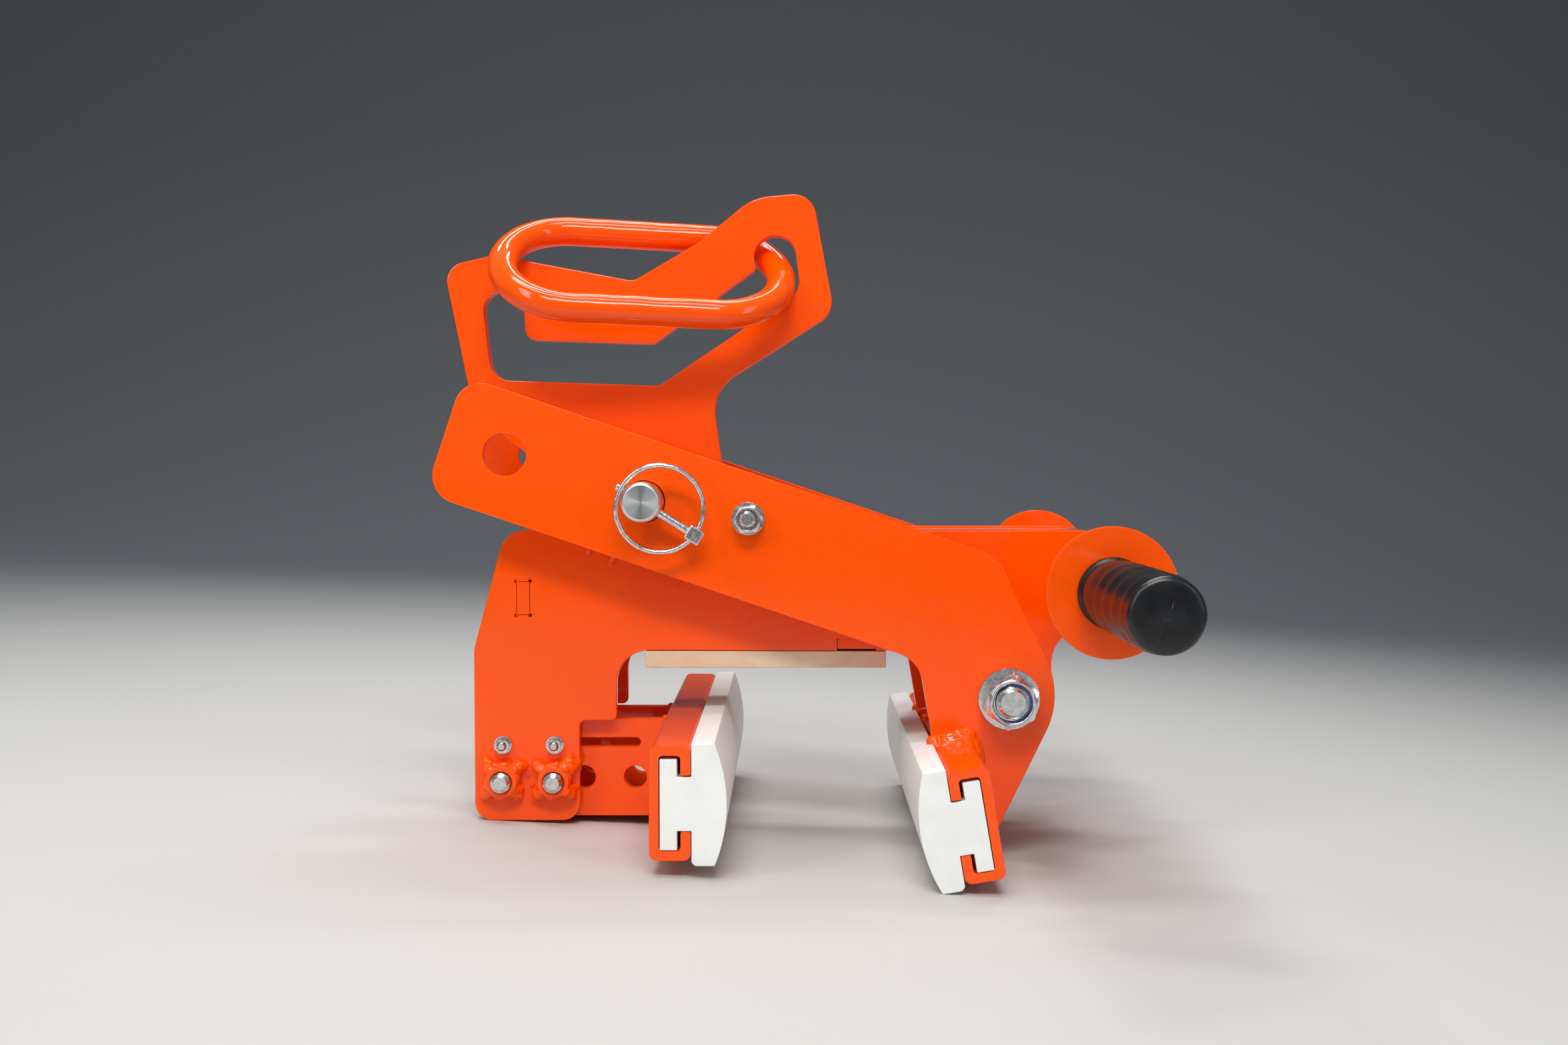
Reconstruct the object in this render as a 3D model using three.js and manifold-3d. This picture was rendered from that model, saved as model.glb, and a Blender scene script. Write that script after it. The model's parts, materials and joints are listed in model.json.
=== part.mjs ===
// Stone lifting clamp: a lever grab whose outer arm turns on one pivot bolt in an inner frame.
// Millimetres, +X to the right of the working side, +Y to the rear, +Z up.
// Everything is laid out from the pivot axis, then the whole clamp is stood on the floor.
import * as THREE from 'three';
import { mergeGeometries, mergeVertices } from 'three/addons/utils/BufferGeometryUtils.js';
import Module from 'manifold-3d';

const wasm = await Module();
wasm.setup();

// Shared clearances
const seat = 0.3; // gap between two pieces that sit on each other
const fit = 0.3; // radial gap of a shaft or tube in a plain hole
const running = 0.5; // gap between the faces that turn past each other
const overrun = 2; // how far a cutter runs past what it cuts
const samePoint = 0.00001; // points closer than this are one
const degree = Math.PI / 180;

// Frame: two inner plates with a beam, a rear leg and a lobe round the pivot
const plateThickness = 5;
const frameWidth = 61;
const frameBack = 265.4; // pivot axis to the leg's outer edge
const beamTop = 80.9; // pivot axis to the beam's top edge
const beamDepth = 60.3;
const legWidth = 53;
const legDrop = 65.5; // pivot axis to the leg's foot
const slantRun = 16; // how far the beam's end leans in at the top
const notchReach = 18.8; // step between the leg and the throat's inner edge
const beamCornerRadius = 13;
const throatRadius = 18.5;
const throatInnerRadius = 16.5;
const notchRadius = 3;
const footRadius = 9;
const lobeRadius = 24.5;
const lobeFillet = 15;
const handleFillet = 19.5;
const handleRise = 3.4; // how far the beam's underside rises past the lobe

// Handle: a cross tube at the beam's other end with a guard disc and a grip on each side
const handleAhead = 38.2; // pivot axis to the handle axis, along the beam
const beamEndRadius = 24.3;
const handleTubeRadius = 12.5;
const handleTubeWall = 2.6;
const discRadius = 30;
const discThickness = 4;
const discSpan = 231.4; // outside to outside of the two discs
const gripRadius = 15.6;
const gripLength = 107;
const gripRibs = 6;
const gripRibHeight = 1.9;
const gripRibPitch = 9.4;
const gripEndWall = 5;
const gripDomeRadius = 7;
const gripPlainEnd = 33; // smooth length before the domed end

// Plates that join the two frame plates
const endPlateThickness = 6.4;
const endPlateInset = 21.8; // frame's outer edge to the end plate
const endTabHeight = 16.4;
const endTabDrop = 25.8; // beam's top edge to the tab
const endPlateDrop = 9;
const endReliefRadius = 1.1;
const floorThickness = 5;
const floorRise = 0.8; // frame's underside to the floor plate
const floorTabLength = 19.6;
const floorTabFromPivot = 63.4;
const floorTabDepth = 6.4;
const topThickness = 4;
const topLength = 112;
const topPastHandle = 6;
const topSink = 0.8;

// Plastic rest under the beam
const restLength = 120.7;
const restThickness = 8.4;
const restFromPivot = 58.4;
const restScrewRadius = 3;
const restScrewHead = 5.6;
const restScrewInset = 22;

// Jaws: a lipped channel holding a T-shaped plastic pad
const jawLength = 244;
const channelDepth = 18.7;
const channelHeight = 51.7;
const channelWall = 5;
const channelCorner = 3.5;
const lipOpening = 25.2;
const padStepClearance = 0.6; // gap between the pad's head and the channel's lips' ends
const padRise = 1.2; // pad's top above the channel's top
const padFootDrop = 2.3; // pad's foot below the channel's underside
const padEdgeDepth = 10.4;
const padBulge = 5.5; // how far the pad's face curves out past its edges
const padFootChamfer = 1.6;
const padBoltInset = 22;
const padBoltRadius = 3;
const padBoltHeadFlats = 10;
const padBoltHeadHeight = 4;
const padBoltReach = 6;

// Fixed jaw and the carrier channel that holds it in the leg
const fixedJawBack = 169.5; // pivot axis to the fixed channel's back
const fixedJawDrop = 11.4; // pivot axis down to the channel's top
const carrierWidth = 46;
const carrierWall = 5;
const carrierTailInset = 2.6; // frame's outer edge to the carrier's tail
const carrierTopDrop = 14.8; // pivot axis down to the carrier's upper edge
const carrierFootRise = 0.8; // leg's foot up to the carrier's underside
const clampPitch = 26.1;
const clampInset = 14.5; // leg's outer edge to the first clamp screw
const clampDrop = 44.8; // pivot axis down to the clamp screws
const clampStep = 39.7; // the jaw's adjustment step, from one pair of holes to the next
const clampRadius = 5;
const clampHoleRadius = 5.7;
const weldNutFlats = 16.6;
const weldNutHeight = 7.8;
const clampEndStand = 3.4;
const clampHeadFlats = 16;
const clampHeadHeight = 6.4;
const guideDrop = 27;
const guideRadius = 2;
const guideSlotHeight = 4.6;
const guideSlotEnd = 12.6; // slot's inner end to the fixed channel's back
const guideWasherRadius = 4.5;
const guideWasherThickness = 0.9;
const guideNutFlats = 7;
const guideNutHeight = 3.4;
const guideEndStand = 1.6;

// Arm: two outer plates, a sloping bar that turns down to the moving jaw
const armWidth = 106.8;
const armSlope = 18.7 * degree;
const barReach = 301.3; // pivot axis to the bar's end, along the bar
const barTop = 63.9; // pivot axis to the bar's upper edge, across the bar
const barBottom = 3.5;
const barUpperEndRadius = 13;
const barLowerEndRadius = 14;
const elbowReach = 27.6; // pivot axis to the upper corner over the pivot, along the bar
const elbowRadius = 20;
const heelReach = 27;
const heelRise = 1;
const heelRadius = 40;
const legInnerRadius = 17;
const toeThickness = 3.2;
const toeGapToFoot = 2.1;
const movingJawTilt = 9.7 * degree;
const movingJawBack = 18.1; // pivot axis to the moving channel's upper back corner
const movingJawDrop = 19.9;

// Pivot bolt
const pivotRadius = 8;
const pivotBushRadius = 13.5;
const pivotWasherRadius = 15;
const pivotWasherThickness = 3;
const pivotNutFlats = 24;
const pivotNutHeight = 10.6;
const pivotCollarRadius = 11.4;
const pivotCollarWall = 1;
const pivotCollarHeight = 3.2;
const pivotInsertHeight = 2.6;
const pivotEndStand = 1.2;
const pivotHeadHeight = 10;

// Stop bolt: its tubes rest on the beam's top edge and space the suspension plate
const stopReach = 148.3; // pivot axis to the stop bolt, along the bar
const stopTubeRadius = 6.5;
const stopRadius = 4;
const stopWasherRadius = 8;
const stopWasherThickness = 1.6;
const stopNutFlats = 13;
const stopNutHeight = 7.2;
const stopEndStand = 2.2;
const stopHeadHeight = 5.3;

// Lifting pin with its linchpin
const pinReach = 199; // pivot axis to the pin, along the bar
const pinPitch = 71.5; // pin to the spare hole
const pinRise = 34; // pivot axis to the pin, across the bar
const pinRadius = 10;
const pinHoleRadius = 10.5;
const pinTubeRadius = 14;
const pinStand = 17;
const pinChamfer = 1.4;
const pinHeadRadius = 14;
const pinHeadHeight = 5;
const linchpinRadius = 2.2;
const linchpinFromEnd = 7.4;
const linchpinSlope = 32.2 * degree;
const linchpinTip = 13.6; // pin axis to the linchpin's tip
const linchpinHead = 29.8; // pin axis to the middle of its head block
const headBlockLength = 8;
const headBlockWidth = 7.4;
const headBlockBore = 2.4;
const ringRadius = 20.9;
const ringWire = 1.2;
const ringCrossGap = 0.4; // ring wire over the linchpin's tip
const ringTwist = 5 * degree;

// Suspension plate: a thick slotted plate between the arm plates
const suspensionHeight = 157.2; // pin axis to the plate's highest edge
const suspensionThicknessShare = 0.0636; // of the plate's height
const suspensionFootRadius = 13; // round the stop bolt

// Lifting link: it goes with the plate's slot, so its sizes and place are shares of that plate's height
const linkWireShare = 0.0471;
const linkLengthShare = 0.897; // centre line to centre line
const linkWidthShare = 0.4453;
const linkForwardShare = 0.091; // suspension plate to the link's middle, towards the front
const linkSideShare = 0.0216; // pin axis to the link's middle, away from the pivot
const linkAboveShare = 0.7341; // pin axis up to the link's middle
const linkLean = 38.9 * degree;
const linkYaw = 8.9 * degree;
const linkFall = 2 * degree;

// Facets
const roundSides = 24;
const smallSides = 14;
const linkSides = 12;
const gripSides = 18;
const domeSteps = 4;
const reliefSides = 8;
const arcStep = 11 * degree;

// Materials
const paint = { color: 0xff5a05, roughness: 0.3, metalness: 0 };
const zinc = { color: 0xb9bcbc, roughness: 0.32, metalness: 1 };
const turnedSteel = { color: 0xc4c6c6, roughness: 0.25, metalness: 1 };
const whitePad = { color: 0xe9e9e6, roughness: 0.45, metalness: 0 };
const nylon = { color: 0xe3c9ab, roughness: 0.4, metalness: 0 };
const rubber = { color: 0x17181a, roughness: 0.5, metalness: 0 };
const blueInsert = { color: 0x3c62a8, roughness: 0.4, metalness: 0 };

// Placement helpers

// A point of the sloping bar: reach runs from the pivot towards the free end, rise across the bar.
function onBar(reach, rise) {
  const c = Math.cos(armSlope);
  const s = Math.sin(armSlope);
  return { x: -reach * c + rise * s, z: reach * s + rise * c };
}

// A point of the moving jaw: out runs behind the channel's back, down along it.
function onMovingJaw(out, down) {
  const c = Math.cos(movingJawTilt);
  const s = Math.sin(movingJawTilt);
  return { x: -movingJawBack + out * c + down * s, z: -movingJawDrop + out * s - down * c };
}

// Where the line through a and b crosses the line through c and d.
function meet(a, b, c, d) {
  const ux = b.x - a.x;
  const uz = b.z - a.z;
  const vx = d.x - c.x;
  const vz = d.z - c.z;
  const t = ((c.x - a.x) * vz - (c.z - a.z) * vx) / (ux * vz - uz * vx);
  return { x: a.x + ux * t, z: a.z + uz * t };
}

// Outline helpers

// A closed outline whose corners { x, z, r } are rounded by arcs, inward or outward.
// Where two arcs would meet on a side, both shrink to share it.
function roundedOutline(corners) {
  const count = corners.length;
  const at = corners.map(({ x, z }) => new THREE.Vector2(x, z));
  const bends = corners.map(({ r }, i) => {
    const back = at[(i + count - 1) % count].clone().sub(at[i]).normalize();
    const on = at[(i + 1) % count].clone().sub(at[i]).normalize();
    const half = Math.acos(back.dot(on)) / 2;
    return { back, on, half, run: (r ?? 0) / Math.tan(half) };
  });
  const points = [];
  bends.forEach(({ back, on, half, run }, i) => {
    const previous = (i + count - 1) % count;
    const next = (i + 1) % count;
    const shareBack = at[i].distanceTo(at[previous]) / (run + bends[previous].run);
    const shareOn = at[i].distanceTo(at[next]) / (run + bends[next].run);
    const reach = run * Math.min(1, shareBack, shareOn);
    if (!(reach > 0)) {
      points.push(at[i]);
      return;
    }
    const radius = reach * Math.tan(half);
    const start = at[i].clone().addScaledVector(back, reach);
    const end = at[i].clone().addScaledVector(on, reach);
    const centre = at[i].clone().addScaledVector(back.clone().add(on).normalize(), radius / Math.sin(half));
    const from = start.clone().sub(centre).angle();
    let turn = end.clone().sub(centre).angle() - from;
    turn -= Math.round(turn / (2 * Math.PI)) * 2 * Math.PI;
    const steps = Math.max(2, Math.ceil(Math.abs(turn) / arcStep));
    for (let k = 0; k <= steps; k += 1) {
      const angle = from + (turn * k) / steps;
      points.push(new THREE.Vector2(Math.cos(angle), Math.sin(angle)).multiplyScalar(radius).add(centre));
    }
  });
  return points.filter((point, i) => point.distanceTo(points[(i + 1) % points.length]) > samePoint);
}

// Points of the arc from a to b, without its ends, that swells by rise to the right of that way.
function arcBetween(a, b, rise) {
  const from = new THREE.Vector2(a.x, a.z);
  const to = new THREE.Vector2(b.x, b.z);
  const chord = from.distanceTo(to);
  const radius = (chord * chord) / (8 * rise) + rise / 2;
  const along = to.clone().sub(from).normalize();
  const right = new THREE.Vector2(along.y, -along.x);
  const centre = from.clone().add(to).multiplyScalar(1 / 2).addScaledVector(right, rise - radius);
  const half = Math.asin(chord / (2 * radius));
  const steps = Math.ceil((2 * half) / (arcStep / 2));
  const points = [];
  for (let k = 1; k < steps; k += 1) {
    const angle = half * ((2 * k) / steps - 1);
    const point = centre.clone().addScaledVector(along, radius * Math.sin(angle));
    point.addScaledVector(right, radius * Math.cos(angle));
    points.push({ x: point.x, z: point.y });
  }
  return points;
}

function circlePoints(x, z, radius, sides = roundSides) {
  const points = [];
  for (let k = 0; k < sides; k += 1) {
    const angle = (k / sides) * 2 * Math.PI;
    points.push(new THREE.Vector2(x + radius * Math.cos(angle), z + radius * Math.sin(angle)));
  }
  return points;
}

// A rectangular slot with a small round relief cut at each corner.
function slotWithReliefs(x0, x1, z0, z1) {
  const points = [];
  [[x0, z0, 2], [x1, z0, 3], [x1, z1, 0], [x0, z1, 1]].forEach(([x, z, quarter]) => {
    for (let k = 0; k <= (3 / 4) * reliefSides; k += 1) {
      const angle = (quarter - 1) * (Math.PI / 2) + (k / reliefSides) * 2 * Math.PI;
      points.push(new THREE.Vector2(
        x + endReliefRadius * Math.cos(angle),
        z + endReliefRadius * Math.sin(angle),
      ));
    }
  });
  return points;
}

// A shape whose outline runs anticlockwise, so that its holes are turned the other way.
function shapeWithHoles(outline, holes = []) {
  const shape = new THREE.Shape(THREE.ShapeUtils.isClockWise(outline) ? [...outline].reverse() : outline);
  shape.holes = holes.map((points) => new THREE.Path(points));
  return shape;
}

// Solid helpers

// A shape drawn in X and Z, given a thickness along Y from near to far.
function plateAcross(shape, near, far) {
  const geometry = new THREE.ExtrudeGeometry(shape, { depth: far - near, bevelEnabled: false });
  return geometry.rotateX(Math.PI / 2).translate(0, far, 0);
}

function box(x0, x1, y0, y1, z0, z1) {
  const geometry = new THREE.BoxGeometry(x1 - x0, y1 - y0, z1 - z0);
  return geometry.translate((x0 + x1) / 2, (y0 + y1) / 2, (z0 + z1) / 2);
}

function rodAcross(x, z, radius, near, far, sides = roundSides) {
  return new THREE.CylinderGeometry(radius, radius, far - near, sides).translate(x, (near + far) / 2, z);
}

// A turned piece round an axis along Y: profile pairs are [radius, distance along the axis].
function turnedAcross(x, z, profile, sides = roundSides) {
  const points = profile.map(([radius, along]) => new THREE.Vector2(radius, along));
  return new THREE.LatheGeometry(points, sides).translate(x, 0, z);
}

function ringAcross(x, z, outer, inner, near, far, sides = roundSides) {
  return turnedAcross(x, z, [[inner, near], [outer, near], [outer, far], [inner, far], [inner, near]], sides);
}

// A hexagon across Y with a round bore.
function hexAcross(x, z, flats, bore, near, far) {
  const outline = circlePoints(x, z, flats / Math.sqrt(3), 6);
  const holes = bore > 0 ? [circlePoints(x, z, bore, smallSides)] : [];
  return plateAcross(shapeWithHoles(outline, holes), near, far);
}

function solidOf(geometry) {
  const bare = geometry.index ? geometry.toNonIndexed() : geometry.clone();
  bare.deleteAttribute('normal');
  bare.deleteAttribute('uv');
  const merged = mergeVertices(bare, samePoint);
  const mesh = new wasm.Mesh({
    numProp: 3,
    vertProperties: new Float32Array(merged.attributes.position.array),
    triVerts: new Uint32Array(merged.index.array),
  });
  return new wasm.Manifold(mesh);
}

function geometryOf(solid) {
  const mesh = solid.getMesh();
  const geometry = new THREE.BufferGeometry();
  geometry.setAttribute('position', new THREE.BufferAttribute(new Float32Array(mesh.vertProperties), 3));
  geometry.setIndex(new THREE.BufferAttribute(new Uint32Array(mesh.triVerts), 1));
  return geometry;
}

function cut(geometry, ...cutters) {
  return geometryOf(cutters.reduce((solid, cutter) => solid.subtract(solidOf(cutter)), solidOf(geometry)));
}

function join(...geometries) {
  return geometryOf(geometries.map(solidOf).reduce((sum, solid) => sum.add(solid)));
}

const clamp = new THREE.Group();

function addPiece(name, geometry, look) {
  const flat = geometry.index ? geometry.toNonIndexed() : geometry;
  flat.computeVertexNormals();
  const piece = new THREE.Mesh(flat, new THREE.MeshStandardMaterial(look));
  piece.name = name;
  clamp.add(piece);
}

// Places that several pieces share
const frameHalf = frameWidth / 2;
const frameInner = frameHalf - plateThickness;
const armHalf = armWidth / 2;
const armInner = armHalf - plateThickness;
const underside = beamTop - beamDepth;
const legInner = -frameBack + legWidth;
const throatInner = legInner + notchReach;
const handleAbove = beamTop - beamEndRadius;
const stopHeight = beamTop + stopTubeRadius + seat;
const stopRise = (stopHeight - stopReach * Math.sin(armSlope)) / Math.cos(armSlope);
const stop = onBar(stopReach, stopRise);
const pin = onBar(pinReach, pinRise);
const sparePin = onBar(pinReach + pinPitch, pinRise);
const clampColumns = [-frameBack + clampInset, -frameBack + clampInset + clampPitch];
const suspensionHalf = (suspensionThicknessShare * suspensionHeight) / 2;
const padBodyHeight = channelHeight + padRise + padFootDrop;

// Frame plates
const endTab = {
  x0: -frameBack + endPlateInset,
  x1: -frameBack + endPlateInset + endPlateThickness,
  z0: beamTop - endTabDrop - endTabHeight,
  z1: beamTop - endTabDrop,
};
const floorTab = {
  x0: -floorTabFromPivot - floorTabLength,
  x1: -floorTabFromPivot,
  z1: underside + floorTabDepth,
};

function framePlateShape() {
  const corners = [
    { x: -frameBack + slantRun, z: beamTop, r: beamCornerRadius },
    { x: -frameBack, z: underside, r: throatRadius },
    { x: -frameBack, z: -legDrop, r: footRadius },
    { x: legInner, z: -legDrop, r: footRadius },
    { x: legInner, z: -carrierTopDrop, r: notchRadius },
    { x: throatInner, z: -carrierTopDrop, r: notchRadius },
    { x: throatInner, z: underside, r: throatInnerRadius },
    { x: floorTab.x0, z: underside },
    { x: floorTab.x0, z: floorTab.z1 },
    { x: floorTab.x1, z: floorTab.z1 },
    { x: floorTab.x1, z: underside },
    { x: -lobeRadius, z: underside, r: lobeFillet },
    { x: -lobeRadius, z: -lobeRadius, r: lobeRadius },
    { x: lobeRadius, z: -lobeRadius, r: lobeRadius },
    { x: lobeRadius, z: beamTop - 2 * beamEndRadius - handleRise / 2, r: handleFillet },
    { x: handleAhead + beamEndRadius, z: beamTop - 2 * beamEndRadius + handleRise, r: beamEndRadius },
    { x: handleAhead + beamEndRadius, z: beamTop, r: beamEndRadius },
  ];
  const holes = [
    slotWithReliefs(endTab.x0 - seat, endTab.x1 + seat, endTab.z0 - seat, endTab.z1 + seat),
    circlePoints(0, 0, pivotBushRadius + fit),
    circlePoints(handleAhead, handleAbove, handleTubeRadius + fit),
    ...clampColumns.map((x) => circlePoints(x, -clampDrop, clampRadius + fit, smallSides)),
    ...clampColumns.map((x) => circlePoints(x, -guideDrop, guideRadius + fit, smallSides)),
  ];
  return shapeWithHoles(roundedOutline(corners), holes);
}

addPiece('frame_plate_front', plateAcross(framePlateShape(), -frameHalf, -frameInner), paint);
addPiece('frame_plate_rear', plateAcross(framePlateShape(), frameInner, frameHalf), paint);

// End plate: upright between the plates, with a tab through each
const endPlateBody = box(
  endTab.x0, endTab.x1,
  -frameInner + seat, frameInner - seat,
  underside, beamTop - endPlateDrop,
);
const endPlateTabs = box(endTab.x0, endTab.x1, -frameHalf, frameHalf, endTab.z0, endTab.z1);
addPiece('frame_end_plate', join(endPlateBody, endPlateTabs), paint);

// Floor plate: closes the beam's underside over the plastic rest, with a tab in each plate
const floorStart = endTab.x1 + seat;
const floorEnd = -lobeRadius - lobeFillet;
const floorBody = box(
  floorStart, floorEnd,
  -frameInner + seat, frameInner - seat,
  underside + floorRise, underside + floorRise + floorThickness,
);
const floorTabs = box(
  floorTab.x0 + seat, floorTab.x1 - seat,
  -frameHalf, frameHalf,
  underside + floorRise, underside + floorRise + floorThickness,
);
const restStart = -restFromPivot - restLength;
const restScrewPlaces = [restStart + restScrewInset, -restFromPivot - restScrewInset];
const restScrewHoles = restScrewPlaces.map((x) => {
  const hole = new THREE.CylinderGeometry(
    restScrewRadius + fit, restScrewRadius + fit, floorThickness + 2 * overrun, smallSides,
  );
  return hole.rotateX(Math.PI / 2).translate(x, 0, underside + floorRise + floorThickness / 2);
});
addPiece('frame_floor_plate', cut(join(floorBody, floorTabs), ...restScrewHoles), paint);

// Top plate: closes the beam's top from the suspension plate's gap to the handle
const topEnd = handleAhead + topPastHandle;
addPiece('frame_top_plate', box(
  topEnd - topLength, topEnd,
  -frameInner + seat, frameInner - seat,
  beamTop - topSink - topThickness, beamTop - topSink,
), paint);

// Pivot bush: welded in the lobes, it reaches the arm plates on both sides
const bushHalf = armInner - running;
addPiece('pivot_bush', ringAcross(0, 0, pivotBushRadius, pivotRadius + fit, -bushHalf, bushHalf), paint);

// Plastic rest with its countersunk screws
const restTop = underside - seat;
const restBody = box(restStart, -restFromPivot, -frameHalf, frameHalf, restTop - restThickness, restTop);
const restSinks = restScrewPlaces.map((x) => {
  const profile = [
    [0, -overrun],
    [restScrewHead + fit, -overrun],
    [restScrewHead + fit, fit],
    [restScrewRadius + fit, restScrewHead - restScrewRadius + fit],
    [restScrewRadius + fit, restThickness + overrun],
    [0, restThickness + overrun],
  ].map(([radius, up]) => new THREE.Vector2(radius, up));
  const sink = new THREE.LatheGeometry(profile, smallSides).rotateX(Math.PI / 2);
  return sink.translate(x, 0, restTop - restThickness);
});
addPiece('rest_pad', cut(restBody, ...restSinks), nylon);

function restScrew(x) {
  const profile = [
    [0, 0],
    [restScrewHead, 0],
    [restScrewRadius, restScrewHead - restScrewRadius],
    [restScrewRadius, restThickness + seat + floorRise + floorThickness],
    [0, restThickness + seat + floorRise + floorThickness],
  ].map(([radius, up]) => new THREE.Vector2(radius, up));
  const screw = new THREE.LatheGeometry(profile, smallSides);
  return screw.rotateX(Math.PI / 2).translate(x, 0, restTop - restThickness + seat);
}
addPiece('rest_screw_left', restScrew(restScrewPlaces[0]), zinc);
addPiece('rest_screw_right', restScrew(restScrewPlaces[1]), zinc);

// Handle: tube, guard discs and grips
const discOuter = discSpan / 2;
const gripStart = discOuter + seat;
const gripEnd = gripStart + gripLength;
const tubeEnd = gripEnd - gripEndWall - running;
addPiece('handle_tube', ringAcross(
  handleAhead, handleAbove,
  handleTubeRadius, handleTubeRadius - handleTubeWall,
  -tubeEnd, tubeEnd,
), paint);

function guardDisc(side) {
  const near = side < 0 ? -discOuter : discOuter - discThickness;
  return ringAcross(
    handleAhead, handleAbove, discRadius, handleTubeRadius + fit, near, near + discThickness,
  );
}
addPiece('handle_disc_front', guardDisc(-1), paint);
addPiece('handle_disc_rear', guardDisc(1), paint);

// A grip is a rubber sleeve with a row of ribs and a closed domed end.
function grip(side) {
  const outer = gripRadius;
  const inner = handleTubeRadius + fit;
  const profile = [[inner, gripStart], [outer + gripRibHeight, gripStart]];
  const ribStart = gripEnd - gripPlainEnd - gripRibs * gripRibPitch;
  for (let k = 0; k < gripRibs; k += 1) {
    const along = ribStart + k * gripRibPitch;
    profile.push([outer, along], [outer + gripRibHeight, along + gripRibPitch / 4]);
    profile.push([outer + gripRibHeight, along + (3 / 4) * gripRibPitch]);
  }
  profile.push([outer, gripEnd - gripPlainEnd], [outer, gripEnd - gripDomeRadius]);
  for (let k = 1; k <= domeSteps; k += 1) {
    const angle = (k / domeSteps) * (Math.PI / 2);
    const dome = gripDomeRadius * (1 - Math.cos(angle));
    profile.push([outer - dome, gripEnd - gripDomeRadius * (1 - Math.sin(angle))]);
  }
  profile.push([0, gripEnd], [0, gripEnd - gripEndWall], [inner, gripEnd - gripEndWall], [inner, gripStart]);
  const sleeve = new THREE.LatheGeometry(profile.map(([r, y]) => new THREE.Vector2(r, y)), gripSides);
  if (side < 0) sleeve.rotateZ(Math.PI);
  return sleeve.translate(handleAhead, 0, handleAbove);
}
addPiece('grip_front', grip(-1), rubber);
addPiece('grip_rear', grip(1), rubber);

// Jaw sections, drawn with the channel's upper back corner at zero: out is minus towards the stone.
function channelOutline() {
  const lipEnd = (channelHeight - lipOpening) / 2;
  const insideRadius = channelWall / 4;
  return roundedOutline([
    { x: 0, z: 0, r: channelCorner },
    { x: 0, z: -channelHeight, r: channelCorner },
    { x: -channelDepth, z: -channelHeight, r: channelCorner },
    { x: -channelDepth, z: -channelHeight + lipEnd },
    { x: -channelDepth + channelWall, z: -channelHeight + lipEnd },
    { x: -channelDepth + channelWall, z: -channelHeight + channelWall, r: insideRadius },
    { x: -channelWall, z: -channelHeight + channelWall, r: insideRadius },
    { x: -channelWall, z: -channelWall, r: insideRadius },
    { x: -channelDepth + channelWall, z: -channelWall, r: insideRadius },
    { x: -channelDepth + channelWall, z: -lipEnd },
    { x: -channelDepth, z: -lipEnd },
    { x: -channelDepth, z: 0, r: channelCorner },
  ]);
}

function padOutline() {
  const lipEnd = (channelHeight - lipOpening) / 2;
  const headBack = -channelWall - seat;
  const headFront = -channelDepth + channelWall + seat;
  const bodyBack = -channelDepth - seat;
  const foot = padRise - padBodyHeight;
  const faceTop = { x: bodyBack - padEdgeDepth, z: padRise };
  const faceFoot = { x: bodyBack - padEdgeDepth, z: foot };
  return [
    { x: headBack, z: -channelWall - padStepClearance },
    { x: headFront, z: -channelWall - padStepClearance },
    { x: headFront, z: -lipEnd - seat },
    { x: bodyBack, z: -lipEnd - seat },
    { x: bodyBack, z: padRise },
    faceTop,
    ...arcBetween(faceTop, faceFoot, padBulge),
    faceFoot,
    { x: bodyBack - padFootChamfer, z: foot },
    { x: bodyBack, z: foot + padFootChamfer },
    { x: bodyBack, z: -channelHeight + lipEnd + seat },
    { x: headFront, z: -channelHeight + lipEnd + seat },
    { x: headFront, z: -channelHeight + channelWall + padStepClearance },
    { x: headBack, z: -channelHeight + channelWall + padStepClearance },
  ].map(({ x, z }) => new THREE.Vector2(x, z));
}

// The two screws that hold a pad run through the channel's back into the pad's head.
const padBoltPlaces = [-jawLength / 2 + padBoltInset, jawLength / 2 - padBoltInset];

function alongX(radius, from, to, y, z, sides = smallSides) {
  const rod = new THREE.CylinderGeometry(radius, radius, to - from, sides).rotateZ(Math.PI / 2);
  return rod.translate((from + to) / 2, y, z);
}

function padBoltHole(y) {
  return alongX(padBoltRadius + fit, -channelWall - padBoltReach - seat, overrun, y, -channelHeight / 2);
}

function padBolt(y) {
  const shank = alongX(padBoltRadius, -channelWall - padBoltReach, seat + overrun, y, -channelHeight / 2);
  const head = alongX(
    padBoltHeadFlats / Math.sqrt(3), seat, seat + padBoltHeadHeight, y, -channelHeight / 2, 6,
  );
  return join(shank, head);
}

function jawPieces(turned) {
  const half = jawLength / 2;
  const holes = padBoltPlaces.map(padBoltHole);
  const pieces = {
    channel: cut(plateAcross(shapeWithHoles(channelOutline()), -half, half), ...holes),
    pad: cut(plateAcross(shapeWithHoles(padOutline()), -half, half), ...holes),
    boltFront: padBolt(padBoltPlaces[0]),
    boltRear: padBolt(padBoltPlaces[1]),
  };
  if (turned) {
    for (const geometry of Object.values(pieces)) geometry.rotateZ(Math.PI);
  }
  return pieces;
}

// Fixed jaw: the section turned round so that its pad faces the moving jaw
const fixedJaw = jawPieces(true);
for (const geometry of Object.values(fixedJaw)) geometry.translate(-fixedJawBack, 0, -fixedJawDrop);
addPiece('fixed_jaw_channel', fixedJaw.channel, paint);
addPiece('fixed_jaw_pad', fixedJaw.pad, whitePad);
addPiece('fixed_pad_bolt_rear', fixedJaw.boltFront, zinc);
addPiece('fixed_pad_bolt_front', fixedJaw.boltRear, zinc);

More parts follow.
